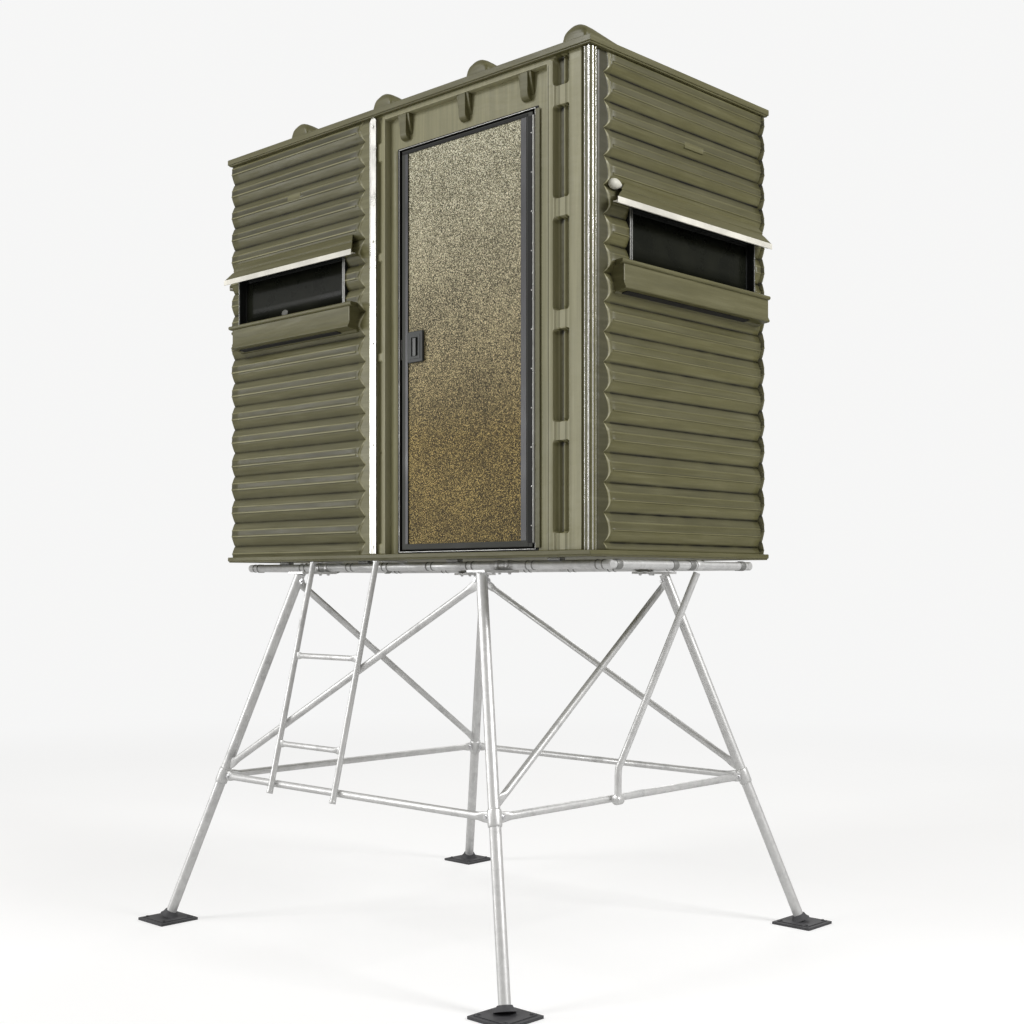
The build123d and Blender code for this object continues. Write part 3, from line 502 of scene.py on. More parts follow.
def skin():
    """Speckled bronze coat: fine gold and brown flecks, with painted light making it lighter and silvery at
    the top and darker and browner at the foot.
    """
    made, tree, shader, coords = material("speckled_skin", (0.4, 0.33, 0.2), 0.5)
    flecks = speckle(tree, coords, 290, 2.0, 0.6)
    clots = speckle(tree, coords, 3.2, 3, 0.6)
    # painted light: the flecks blend from a darker brown set at the foot to a lighter silvery set at the top
    level = node(tree, "SeparateXYZ", {0: coords})["Z"]
    height = ranged(tree, level, (BASE_Z + 520) / 1000, (BASE_Z + 1800) / 1000)
    drift = arithmetic(tree, "MULTIPLY_ADD", clots, 0.10, -0.05)
    total = arithmetic(tree, "ADD", flecks, drift)
    shaded_foot_colour = ramp(tree, total, (0.41, (0.015, 0.010, 0.003)), (0.48, (0.056, 0.038, 0.009)),
                 (0.55, (0.14, 0.098, 0.025)), (0.63, (0.66, 0.49, 0.17)))
    lit_top_colour = ramp(tree, total, (0.40, (0.034, 0.031, 0.017)), (0.48, (0.20, 0.182, 0.105)),
                  (0.55, (0.54, 0.50, 0.325)), (0.63, (1.0, 0.98, 0.80)))
    dress(tree, shader, blend_colour(tree, height, shaded_foot_colour, lit_top_colour), 0.5, 0.22)
    bump(tree, shader, total, 0.6, 0.002)
    return made


def smoked():
    """Smoked pane: dark, glossy, with a faint haze."""
    made, tree, shader, coords = material("smoked_pane", (0.006, 0.007, 0.007), 0.08)
    haze = speckle(tree, coords, 7, 4)
    tone = ramp(tree, haze, (0.35, (0.009, 0.010, 0.007)), (0.8, (0.017, 0.018, 0.012)))
    dress(tree, shader, tone, ramp(tree, haze, (0.3, 0.24), (0.8, 0.36)), 0.07)
    return made


OLIVE = plastic("olive_plastic", stretch=(1.2, 1.2, 26))  # streaks run level, along the ribs
OLIVE_UPRIGHT = plastic("olive_upright", stretch=(26, 26, 1.2))  # streaks run up the door wall
SKIN, PANE, TRIM = skin(), smoked(), trim()
TUBE = zinc("galvanised_tube", (0.78, 0.78, 0.775), 0.4, 0.62)
HARDWARE = zinc("zinc_hardware", (0.80, 0.80, 0.81), 0.3, 0.95)
LATCH_STEEL = zinc("latch_steel", (0.42, 0.42, 0.40), 0.36, 0.9)
SLEEVE_STEEL = zinc("sleeve_steel", (0.30, 0.30, 0.29), 0.45, 0.6)
# near-white metal for painted highlights: the corner's highlight lines and the glints on the hinge rivets
PAINTED_HIGHLIGHT = zinc("highlight_bead", (0.97, 0.96, 0.92), 0.22, 0.8)
PULL_STEEL = coated("pull_steel", (0.085, 0.088, 0.085), 0.42)
HINGE_STEEL = zinc("door_hinge_steel", (0.33, 0.33, 0.34), 0.34, 0.9)
CHARCOAL = coated("charcoal_frame", (0.024, 0.025, 0.019), 0.5, specular=0.3)
LATCH_BLACK = coated("latch_black", (0.030, 0.033, 0.031), 0.46, specular=0.4)
JAMB_BLACK = coated("jamb_black", (0.007, 0.007, 0.006), 0.55, specular=0.2)
WINDOW_BLACK = coated("window_black", (0.010, 0.011, 0.010), 0.55, specular=0.25)
KNOB = coated("grey_knob", (0.10, 0.10, 0.085), 0.5)
PALE_KNOB = coated("pale_knob", (0.56, 0.55, 0.48), 0.45)
RAIL_WHITE = coated("weathered_rail", (0.66, 0.64, 0.57), 0.38)
# pale olive for a painted highlight line
HIGHLIGHT_OLIVE = coated("highlight_olive", (0.27, 0.26, 0.18), 0.45)
BAR_GREY = coated("bar_grey", (0.040, 0.040, 0.044), 0.34, specular=0.4)
PAD = coated("black_pad", (0.056, 0.056, 0.060), 0.6, grain=180, strength=0.6)
# near black: the door's seal, and painted shadow under the window sills
SEAL_AND_SHADOW = coated("black_seal", (0.010, 0.010, 0.010), 0.7)
LINER = coated("door_liner", (0.22, 0.22, 0.20), 0.7, grain=90)

# ---- ribbed walls
RIB = (  # share of the pitch from valley to valley, depth, painted light and shade on the short walls, painted light and shade on the long walls
    (0, -22, -0.8, -0.6), (0.03, -19.5, -0.5, -0.4), (0.07, -16.6, 0.05, -0.15), (0.12, -14, 0.16, -0.1),
    (0.24, -8, 0.2, 0.05), (0.33, -4.4, 0.12, 0.0), (0.375, -3.6, 0.0, -0.25), (0.40, -0.5, 0.12, 0.2),
    (0.42, 0, 0.5, 1.0), (0.44, -0.4, -0.35, 0.5), (0.48, -2.3, -0.12, -0.35), (0.55, -2.9, -0.08, -0.35),
    (0.64, -3.3, -0.1, -0.3), (0.675, -2.5, 0.1, 0.3), (0.70, -3.1, 0.2, 0.7), (0.73, -6, -0.25, -0.1),
    (0.80, -8.6, -0.15, 0.0), (0.90, -13.5, -0.2, -0.1), (0.96, -17, -0.4, -0.35), (0.985, -19.5, -0.7, -0.5),
    (1.0, -22, -0.8, -0.6))
RIB_DEPTH, SHADING_SHORT, SHADING_LONG = 1, 2, 3  # columns of the table
STRIP_DEPTH = -4.2  # crests just before the scalloped ends
EDGE_DEPTH = -8  # where the ribs meet the tray and the roof
LABEL_DEPTH = -1.2
LABELS = {"front": (-731, -630, 1736, 1770), "right": (8, 143, 1727, 1756)}  # blank pads


def between(table, share, column):
    """Value of a column at a share, between the rows of the table."""
    for first, second in zip(table, table[1:]):
        if share <= second[0]:
            rise = second[column] - first[column]
            return first[column] + rise * (share - first[0]) / (second[0] - first[0])
    return table[-1][column]


def rib_share(valleys, v):
    """How far a height lies from one valley to the next."""
    for low, high in zip(valleys, valleys[1:]):
        if v < high:
            return (v - low) / (high - low)
    return 0.0


def on_label(name, u, v):
    box = LABELS.get(name)
    return box is not None and box[0] < u < box[1] and box[2] < v < box[3]


def ribbed(name):
    """Depth and painted light and shade of a ribbed wall: full ribs, scalloped rib ends, then the flat
    border.
    """
    wall = WALLS[name]
    away = 1 if wall.valley_end > wall.crest_end else -1
    short = name in SHORT_WALLS

    def amounts(u, v):
        """Share of the pitch, and how full the rib is at its end, at the wall's edges and on its crest."""
        share = rib_share(wall.valleys, v)
        if short:
            rise = min(share / 0.36, (1 - share) / 0.64, 1)
            bulge = rise * (2 - rise)
        else:
            bulge = min(share / 0.42, (1 - share) / 0.5, 1)
        end = wall.valley_end + (wall.crest_end - wall.valley_end) * 0.9 * bulge
        edge = min(ease((v - WALL_LOW) / 22), ease((WALL_HIGH - v) / 16))
        return share, ease(away * (end - u) / 13), edge, ease(away * (wall.crest_end - away * 16 - u) / 5)

    def depth(u, v):
        share, amount, edge, strip = amounts(u, v)
        shape = between(RIB, share, RIB_DEPTH) + 0.8 * noise.noise(Vector((u / 420, v / 150, 3.7)))
        shape = shape * strip + min(shape, STRIP_DEPTH) * (1 - strip)
        if on_label(name, u, v):
            shape = LABEL_DEPTH
        shape = EDGE_DEPTH + (shape - EDGE_DEPTH) * edge
        return BORDER_DEPTH + (shape - BORDER_DEPTH) * amount

    def painted_light(u, v):
        share, amount, edge, strip = amounts(u, v)
        # painted highlights and painted shade across each rib, from the table, with an even lighter value on
        # the blank label pad
        rib_shading = between(RIB, share, SHADING_SHORT if short else SHADING_LONG) * (0.35 + 0.65 * strip)
        if on_label(name, u, v):
            rib_shading = 0.25
        patchy = 0.8 + 0.4 * noise.noise(Vector((u / 90, v / 60, 9.1)))
        # painted highlight on the sloping scalloped rib ends, stronger on the short walls
        slope_highlight = (3.2 if short else 1.6) * max(0, 1 - abs(amount - 0.45) * 2.4) * edge
        # painted shade on the short walls' flat border, and painted light on the long walls' flat border
        border_shading = -0.45 if short else 0.3
        # painted shade, darker towards the roof
        under_roof_shade = -0.13 * ease((v - 1450) / 200)
        return 1.25 * rib_shading * amount * edge * patchy + slope_highlight + border_shading * (1 - amount) + under_roof_shade
    return depth, painted_light


def rim_lines(low, high):
    """Grid lines that give a pad a crisp rim."""
    return [low, low + 2, high - 2, high]


def wall_panel(name):
    """Moulded ribbed panel with its window opening, and a blank label pad on some walls."""
    wall = WALLS[name]
    window = span(*wall.window)
    label = LABELS.get(name)
    rib_ends = min(wall.crest_end, wall.valley_end) - 20, max(wall.crest_end, wall.valley_end) + 20
    pitches = list(zip(wall.valleys, wall.valleys[1:]))
    rib_lines = [low + row[0] * (high - low) for low, high in pitches for row in RIB[:-1]]
    rows = merged([WALL_LOW, WALL_HIGH], [v for v in rib_lines if WALL_LOW < v < WALL_HIGH],
                  (WINDOW_LOW, WINDOW_HIGH), rim_lines(*label[2:]) if label else [],
                  steps(WALL_LOW, WALL_HIGH, 5))
    columns = merged(wall.ends, window, steps(*rib_ends, 3), steps(*wall.ends, 60))
    columns = [u for u in columns if wall.ends[0] <= u <= wall.ends[1]]
    columns = merged(columns, rim_lines(*label[:2]) if label else [])
    depth, painted_light = ribbed(name)
    bm = bmesh.new()
    heightfield(bm, partial(spot, name), columns, rows, depth, painted_light, hole=(*window, WINDOW_LOW, WINDOW_HIGH))
    panel = finish_mesh(f"{name}_wall", bm, OLIVE, 32, replaces=f"{name}_window_panel")
    thicken_inward(panel, wall.outward)


# outlines round a window as (depth, height)
HOOD = [(-22, 1506), (-8, 1503), (4, 1490), (16, 1473), (24, 1463), (21, 1456), (29, 1448), (55, 1415),
        (58, 1409), (57.5, 1402), (52, 1401), (-1, 1421), (-22, 1421)]
DRIP_RAIL = [(58.3, 1413), (60.3, 1412), (60.3, 1388), (58.3, 1387), (57, 1388.5), (57, 1395.5), (34, 1395.5),
             (34, 1397.5), (58.3, 1397.6)]
SILL_LIP = [(-22, 1184), (50, 1178.5), (55, 1177.5), (58, 1174), (58, 1166), (55, 1161.5), (49, 1159),
            (40, 1158), (-22, 1158)]
SILL_FACE = [(-22, 1160), (48, 1160), (48, 1086), (50, 1080), (55.5, 1071), (56.5, 1066), (55, 1062),
             (49, 1060), (8, 1056), (0, 1047), (-22, 1045)]
# strip painted black for the shadow under a sill box
SILL_SHADOW = [(-10, 1058), (34, 1058), (34, 1055), (-10, 1048)]


def first_only(name, node):
    """A CAD node that holds a piece of every wall is replaced once, by the front wall's piece."""
    return node if name == "front" else None


def window_hood(name):
    """Hood over a window, with its drip rail."""
    u0, u1 = span(*WALLS[name].hood)
    taper = (48, 60) if name == "front" else (112, 34)
    moulding(f"{name}_hood", name, HOOD, (u0, u1), OLIVE, 3.0, taper)
    moulding(f"{name}_drip_rail", name, DRIP_RAIL, (u0 + 2, u1 - 2), RAIL_WHITE, 0.5,
             replaces=first_only(name, "drip_rails"), slot="bare_aluminium")


def window_sill(name):
    """Sill box under a window: lip, face, a pale corner line painted as a highlight, and a black strip below
    painted as shadow.
    """
    short = name in SHORT_WALLS
    u0, u1 = span(*WALLS[name].sill)
    corner = u0 + 23.4 if short else u1 - 23.4
    moulding(f"{name}_sill_lip", name, SILL_LIP, (u0, u1), OLIVE, 2.0, taper=(26, 26))
    moulding(f"{name}_sill", name, SILL_FACE, (u0 + 22, u1 - (4 if short else 22)), OLIVE, 2.5)
    # pale strip: painted highlight on the sill box's near corner
    wall_blocks(f"{name}_sill_corner_highlight", name, [(corner - 1.6, corner + 1.6, 1092, 1157, 44, 48.5)],
                HIGHLIGHT_OLIVE, 0.8, slot="olive_plastic")
    # black strip: painted shadow under the sill box
    moulding(f"{name}_sill_shadow", name, SILL_SHADOW, (u0 + 60, u1 - 130), SEAL_AND_SHADOW, 1.0)


def window_frame(name, opening):
    """Opening frame with its bright beads: one at each jamb, and two more inside the near jamb."""
    outer = inset(opening, 1)
    inner = inset(outer, 8)
    wall_ring(f"{name}_window_frame", name, outer, inner, (-2, -33.8), WINDOW_BLACK, 1.6,
              replaces=first_only(name, "window_frames"), slot="charcoal_frame")
    jambs = (outer[0] + 2.5, outer[1] - 2.5)
    near, inward = (outer[0], 1) if name in SHORT_WALLS else (outer[1], -1)
    lines = (near + inward * 13, near + inward * 22)
    beads = [(u - 1.6, u + 1.6, inner[2], inner[3], -3.5, 0.8) for u in jambs]
    beads += [(u - 1.7, u + 1.7, inner[2], inner[3], -12, -4) for u in lines]
    wall_blocks(f"{name}_window_bead", name, beads, LATCH_STEEL, 0.6)


def window_sash(name, opening):
    """Sliding sash with its smoked pane and a pull on its lower bar."""
    body = f"window_{name}"
    outer = inset(opening, 6)
    wall_ring(f"{name}_sash", name, outer, inset(outer, 14), (-34.5, -48), WINDOW_BLACK, 1.2,
              body=body, replaces=f"sash_{name}", slot="charcoal_frame")
    pane = inset(outer, 8)
    bm = bmesh.new()
    heightfield(bm, partial(spot, name), steps(*pane[:2], 60), steps(*pane[2:], 60), lambda u, v: -39.0)
    thicken(finish_mesh(f"{name}_pane", bm, PANE, 30, body=body, replaces=f"pane_{name}"), 0)
    middle, low = WALLS[name].window[0], WINDOW_LOW + 9
    wall_blocks(f"{name}_pull", name, [(middle - 35, middle + 35, low, low + 8, -48, -62)], CHARCOAL, 2.5,
                body=body)


def knobs():
    """Pale knob on the right wall's near edge, and a small grey one inside the front window."""
    bm = bmesh.new()
    route = [spot("right", u, 1482, -1) * 1000 for u in (-486, -481, -470, -454, -436, -418, -408)]
    sweep(bm, route, [(wide, wide * 0.9) for wide in (3, 13, 20, 22, 18, 9, 1.5)], 24)
    finish_mesh("wall_knob", bm, PALE_KNOB, 60, slot="bare_aluminium")
    bm = bmesh.new()
    route = [spot("front", u, 1216, -44) * 1000 for u in (-832, -828, -815, -797, -780, -768, -764)]
    sweep(bm, route, [(wide * 1.1, wide * 0.6) for wide in (2, 9, 16, 19, 15, 8, 2)], 20)
    finish_mesh("window_knob", bm, KNOB, 60, body="window_front", slot="charcoal_frame")


# ---- door wall
door_place = partial(spot, "front")
FIELD, FIELD_CORNER = (-62, 1000, -300, 2001), 46  # raised field round the door
RECESS, RECESS_CORNER, RECESS_DEPTH = (-25, 957, -200, 1978), 5, -37
DOORWAY = (41, 874, 31, 1832)
POCKETS = [(989, 1072, low, low + 372) for low in (94, 539, 984, 1431)] + [(989, 1072, 1880, 2003)]
LEFT_POCKETS = [(-92, -42, low, low + 420) for low in (70, 480, 930, 1380)] + [(-92, -42, 1876, 2003)]
POCKET_CORNER, POCKET_MIDDLE = 15, 1036


def near_pocket(box, v):
    return box[2] - 5 < v < box[3] + 5


def door_depth(u, v):
    """Raised field, pockets with a ridge down their middle, corner step, and the recess of the door."""
    depth = -12 + 5 * ease((inside(u, v, FIELD, FIELD_CORNER) + 2) / 6)
    for box in POCKETS:
        if near_pocket(box, v) and u > 980:
            sunk = ease(inside(u, v, box, POCKET_CORNER) / 6)
            ridge = ease((9 - abs(u - POCKET_MIDDLE)) / 5) * ease(inside(u, v, box, 8) / 16)
            depth -= (24 - 11 * ridge) * sunk
    for box in LEFT_POCKETS:
        if near_pocket(box, v) and u < -30:
            depth -= 10 * ease(inside(u, v, box, POCKET_CORNER) / 8)
    depth += 1.6 * ease(1 - abs(u - 1133.5) / 2.2) - 9 * ease((u - 1136) / 3)
    return depth - (depth - RECESS_DEPTH) * ease(inside(u, v, RECESS, RECESS_CORNER) / 3.4)


def pocket_painted_light(u, v):
    """Painted highlights on the rims and ridge lines of the right pockets, painted shade on their floors,
    darkest as a painted shadow under their top edge.
    """
    tone = 0.45 * ease((15 - abs(u - POCKET_MIDDLE)) / 4) - 0.7 * peak(abs(u - POCKET_MIDDLE) - 18, 4)
    tone += 0.6 * peak(u - 1068, 5) + 0.6 * peak(u - 994, 4)
    for box in POCKETS:
        if near_pocket(box, v):
            sunk = ease(inside(u, v, box, POCKET_CORNER) / 6)
            # painted shadow under the pocket's top edge
            top_shade = ease((v - box[3] + 26) / 10) * (1 - ease((v - box[3] + 10) / 8))
            tone += sunk * (0.8 * peak(u - 1029, 4) + 0.8 * peak(u - 1044, 4) - 0.72 - 0.5 * top_shade)
    return tone


def door_painted_light(u, v):
    """Painted highlights on the raised mouldings and their rims, painted shade in the recess corners."""
    rim = max(0, 1 - abs(inside(u, v, FIELD, FIELD_CORNER)) / 5)
    step = max(0, 1 - abs(inside(u, v, RECESS, RECESS_CORNER)) / 4)
    # painted light: an even lift for sheen on the whole door wall, painted highlights on the moulding rims,
    # the recess step and the flat strip right of the pockets, and a painted shadow line in the corner groove
    tone = 0.6 + 0.9 * rim + 0.7 * step + 0.35 * ease((u - 1078) / 12) - 0.75 * peak(u - 1140, 8)
    if v < 1970:
        # painted highlight, painted shadow and painted highlight lines along the recess's right edge
        tone += 0.9 * peak(u - 955, 5) - 1.0 * peak(u - 964, 5) + 0.6 * peak(u - 972, 4)
    if u > 984:
        tone += pocket_painted_light(u, v)
    return tone


def door_wall():
    """Moulded wall round the door, with its pockets, recess and doorway."""
    columns = merged(steps(-98, -14, 3), [-25, -21.6], DOORWAY[:2], steps(0, 940, 47), steps(948, 1150, 3),
                     [957, 953.6])
    rows = merged(steps(WALL_LOW, WALL_HIGH, 4), DOORWAY[2:], [1978, 1974.6])
    bm = bmesh.new()
    heightfield(bm, door_place, columns, rows, door_depth, door_painted_light, DOORWAY)
    panel = finish_mesh("door_wall", bm, OLIVE_UPRIGHT, 40, replaces="front_door_panel",
                        slot="olive_plastic")
    thicken_inward(panel, FRONT)


def header_hooks():
    """Three curled hooks over the door, each with a broader web behind it."""
    hook = [(-37, 1864), (-37, 1978), (-8, 1978), (-8, 1896), (-9.5, 1884), (-14, 1874), (-21, 1867),
            (-29, 1864)]
    web = [(-37, 1884), (-37, 1978), (-12, 1978), (-20, 1930), (-30, 1896)]
    for index, centre in enumerate((92, 466, 828), start=1):
        moulding(f"header_hook_{index}", "front", hook, (centre - 21, centre + 21), OLIVE, 2.6)
        moulding(f"header_hook_web_{index}", "front", web, (centre - 36, centre + 36), OLIVE, 2.6)


# ---- door leaf, hinge and latch
def door_leaf():
    """Charcoal frame with its face bars and strips, the jamb's bright edge, and the speckled skin; the top
    strip is near black for painted shade under the header.
    """
    wall_ring("leaf_frame", "front", (64, 857.5, 43, 1818), (102, 797, 68, 1802), (-30, -66), CHARCOAL, 2.0,
              body="door", replaces="door_frame")
    wall_ring("leaf_face_bars", "front", (66, 834, 45, 1816), (106, 792, 69, 1801), (-29, -33), CHARCOAL, 1.5,
              body="door")
    side_strips = [(793, 824, 70, 1800, -27.6, -29.2), (88, 105, 70, 1800, -27.6, -29.2)]
    wall_blocks("leaf_face_strip", "front", side_strips, BAR_GREY, 0.6, body="door", slot="charcoal_frame")
    # painted shade: the top strip is near black, darker than the grey side strips, where the header shades it
    wall_blocks("leaf_top_strip", "front", [(68, 832, 1801.5, 1814, -27.9, -29.2)], JAMB_BLACK, 0.5,
                body="door", slot="charcoal_frame")
    jamb = (43, 872, 33, 1830)
    wall_ring("jamb_edge", "front", jamb, inset(jamb, 2.4), (-30.2, -33), LATCH_STEEL, 0.4)
    bm = bmesh.new()
    heightfield(bm, door_place, steps(100, 798, 29), steps(66, 1804, 29), lambda u, v: -33.2)
    finish_mesh("leaf_skin", bm, SKIN, 30, body="door", replaces="door_skin")


HINGE_X, HINGE_Y, KNUCKLE = 864.5, -578, 348
RIVET_X = 853


def hinge_leaves():
    """Rivets and the two leaves of the full-height hinge, with the olive cover beside it."""
    bm = bmesh.new()
    # near-white rivet heads: painted glints
    for v in steps(130, 1730, 160):
        route = [(RIVET_X, y, BASE_Z + v) for y in (-577.5, -579.6, -581)]
        sweep(bm, route, [(4.0, 4.0), (3.4, 3.4), (1.4, 1.4)], sides=12)
    finish_mesh("hinge_rivets", bm, PAINTED_HIGHLIGHT, 40, body="door", slot="door_hinge_steel")
    face, edge = (831, 858.2, 60, 1800, -27, -29), (858, 859.3, 46, 1815, -29.5, -64)
    wall_blocks("hinge_leaf_moving", "front", [face, edge], JAMB_BLACK, 0.4, body="door",
                replaces="door_hinge_moving", slot="door_hinge_steel")
    wall_blocks("hinge_leaf_fixed", "front", [(871, 894, 60, 1800, -32, -34.8)], JAMB_BLACK, 0.5,
                replaces="door_hinge_fixed", slot="door_hinge_steel")
    wall_blocks("hinge_cover", "front", [(871.5, 896, 40, 1824, -29.6, -31.8)], OLIVE_UPRIGHT, 0.6,
                slot="olive_plastic")


def hinge_knuckles():
    """Five knuckles, turn about on the wall and on the door."""
    for index in range(5):
        low = BASE_Z + 60 + index * KNUCKLE
        bm = bmesh.new()
        rod(bm, (HINGE_X, HINGE_Y, low + 1), (HINGE_X, HINGE_Y, low + KNUCKLE - 1), 5.2)
        for share in (0.15, 0.5, 0.85):
            collar(bm, (HINGE_X, HINGE_Y, low + KNUCKLE * share), UP, 6.2, 9, 5)
        finish_mesh(f"hinge_knuckle_{index + 1}", bm, LATCH_STEEL, 40, body="door" if index % 2 else "stand",
                    slot="door_hinge_steel")


def latch():
    """Latch plate with a raised rim round its recess, and the pull in the recess."""
    wall_ring("latch_body", "front", (109, 209, 869, 1007), (137, 181, 896, 980), (-19, -32.8), LATCH_BLACK,
              4.0, body="door", replaces="latch_plate", segments=3)
    bm = bmesh.new()
    ring(bm, door_place, (124, 194, 884, 992), (138, 180, 897, 979), -17.2, -24)
    wall_block(bm, "front", 136, 182, 895, 981, -31, -32.9)
    finish_mesh("latch_rim", bm, LATCH_BLACK, 30, 1.6, body="door")
    plate, grip = (139.5, 163, 898.5, 977.5, -22, -24.8), (158, 163.4, 898.5, 977.5, -19.6, -24.8)
    wall_blocks("latch_pull_plate", "front", [plate, grip], PULL_STEEL, 1.0, body="latch_paddle",
                replaces="latch_paddle", slot="latch_steel")


# ---- trims, tray and roof
STRIP_LEFT, STRIP_RIGHT, STRIP_TOP = -122, -78, 1980
STRIP_BOLTS = (60, 520, 980, 1440, 1960)


def joint_strips():
    """Aluminium strips over the joints of the long walls: raised edges and an arched top on the front one."""
    bm = bmesh.new()
    low = WALL_LOW + 2
    section = [(-6.8, low), (-1, low), (-0.6, low + 2), (-0.6, STRIP_TOP + 2), (-6.8, STRIP_TOP + 2)]
    wall_prism(bm, "front", section, STRIP_LEFT + 1, STRIP_RIGHT - 1)
    for edge in (STRIP_LEFT + 4, STRIP_RIGHT - 4):
        wall_block(bm, "front", edge - 3, edge + 3, WALL_LOW + 4, STRIP_TOP, -6, 0.6)
    middle, radius = (STRIP_LEFT + STRIP_RIGHT) / 2, 21
    turns = [pi * k / 12 for k in range(13)]
    arch = [spot("front", middle - radius * cos(a), STRIP_TOP + radius * sin(a), -6.8) for a in turns]
    prism(bm, arch, FRONT * 6.4 / 1000)
    for v in STRIP_BOLTS:
        bolt(bm, (middle, -607.0, BASE_Z + v), FRONT, 5.5, 3.0)
    finish_mesh("front_joint_strip", bm, TRIM, 30, 1.0, replaces="joint_strips")
    bm = bmesh.new()
    wall_prism(bm, "rear_right", [(-11.8, low), (-5.4, low), (-5.4, 1984), (-11.8, 1984)], 73, 127)
    for v in STRIP_BOLTS:
        bolt(bm, (middle, 601.8, BASE_Z + v), REAR, 5.5, 3.0)
    finish_mesh("rear_joint_strip", bm, TRIM, 30, 1.0)


def corner_trim():
    """Olive angle at the near corner with four near-white beads up it, painted highlights along its rounded
    edges.
    """
    low, high = BASE_Z + WALL_LOW + 1, BASE_Z + 1996
    bm = bmesh.new()
    block(bm, (1153, -603.5, low), (1186, -597, high))
    block(bm, (1178.5, -603, low), (1186, -561, high))
    finish_mesh("corner_trim_angle", bm, OLIVE, 30, 2.0, replaces="corner_trim", slot="bare_aluminium")
    bm = bmesh.new()
    for x, y, wide, thin in ((1160, -603.8, 1.5, 1.5), (1179, -603.2, 3.4, 3.4), (1184.4, -586, 3.8, 3.42),
                             (1185, -567, 1.5, 1.35)):
        sweep(bm, [(x, y, low), (x, y, high)], [(wide, thin)] * 2, 16)
    finish_mesh("corner_beads", bm, PAINTED_HIGHLIGHT, 50, slot="bare_aluminium")


def tray():
    bm = bmesh.new()
    block(bm, (-1203, -621, BASE_Z + 6), (1203, 621, BASE_Z + 26))
    block(bm, (-1199, -617, BASE_Z), (1199, 617, BASE_Z + 8))
    finish_mesh("tray", bm, OLIVE, 30, 4.0, replaces="floor_tray", segments=3)


ROOF_RIBS, ROOF_RIB_HALF, ROOF_RIB_TALL = (-632, -33, 566, 1110), 62, 65.4
ROOF_RIB_PROFILE = (  # position from front to rear, share of the full height
    (-612, 0.0), (-611, 0.5), (-606, 0.82), (-596, 0.97), (-580, 1.0), (-550, 0.97), (-450, 0.74),
    (-350, 0.5), (-270, 0.34), (-220, 0.29), (590, 0.27), (604, 0.23), (611, 0.15), (612, 0.0))


def roof_rim():
    bm = bmesh.new()
    ring(bm, metres, (-1203, 1203, -621, 621), (-1188, 1188, -606, 606), TOP_Z, TOP_Z - 26)
    ring(bm, metres, (-1198, 1198, -616, 616), (-1172, 1172, -590, 590), TOP_Z - 24, TOP_Z - 32)
    block(bm, (-1192, -610, TOP_Z - 7), (1192, 610, TOP_Z - 1))
    finish_mesh("roof_rim", bm, OLIVE, 30, 3.5, replaces="roof_cap", segments=3)


def roof_ribs():
    """Humped ribs from front to rear, tall at the front and low behind."""
    bm = bmesh.new()
    turns = [pi * k / 16 for k in range(17)]
    for centre in ROOF_RIBS:
        rows = []
        for y, grow in ROOF_RIB_PROFILE:
            narrowed = 0.86 + 0.14 * grow
            xs = [centre + cos(a) * ROOF_RIB_HALF * narrowed for a in turns]
            zs = [TOP_Z - 2 + ROOF_RIB_TALL * sin(a) ** 0.7 * grow for a in turns]
            rows.append([bm.verts.new(metres(x, y, z)) for x, z in zip(xs, zs)])
        for first, second in zip(rows, rows[1:]):
            for k in range(len(turns) - 1):
                bm.faces.new((first[k], first[k + 1], second[k + 1], second[k]))
    finish_mesh("roof_ribs", bm, OLIVE, 60)


# ---- tower
LEG_FOOT, LEG_TOP = (1127, 1017, 0), (605, 620, 1674)
RING_Z, BRACE_LOW, BRACE_HIGH = 700, 738, 1630
CORNERS = {"front_left": (-1, -1), "front_right": (1, -1), "rear_right": (1, 1), "rear_left": (-1, 1)}
FACES = {"front": ("front_left", "front_right"), "right": ("front_right", "rear_right"),
         "rear": ("rear_right", "rear_left"), "left": ("rear_left", "front_left")}


def leg_point(corner, z):
    """Point on the axis of a splayed leg."""
    side_x, side_y = CORNERS[corner]
    share = z / LEG_TOP[2]
    x = LEG_FOOT[0] + (LEG_TOP[0] - LEG_FOOT[0]) * share
    y = LEG_FOOT[1] + (LEG_TOP[1] - LEG_FOOT[1]) * share
    return Vector((side_x * x, side_y * y, z))


def legs():
    for corner in CORNERS:
        low, high = leg_point(corner, 24), leg_point(corner, 1664)
        bm = bmesh.new()
        rod(bm, low, high, 24, 28)
        collar(bm, leg_point(corner, RING_Z), high - low, 29, 74, 24)
        finish_mesh(f"tower_leg_{corner}", bm, TUBE, 40, replaces=f"leg_{corner}")


def face_tube(name, start, end, radius, node):
    """Tube from leg to leg, its pressed ends outside the legs' axes."""
    aim = (end - start).normalized()
    bm = bmesh.new()
    pressed_tube(bm, start + aim * 20, end - aim * 20, radius, 64)
    finish_mesh(name, bm, TUBE, 40, replaces=node)


def braces():
    """One level tube and one diagonal on each face of the tower."""
    for face, (first, second) in FACES.items():
        face_tube(f"ring_{face}", leg_point(first, RING_Z), leg_point(second, RING_Z), 16.5,
                  f"ring_brace_{face}")
        face_tube(f"brace_{face}", leg_point(first, BRACE_LOW), leg_point(second, BRACE_HIGH), 16,
                  f"diagonal_{face}")


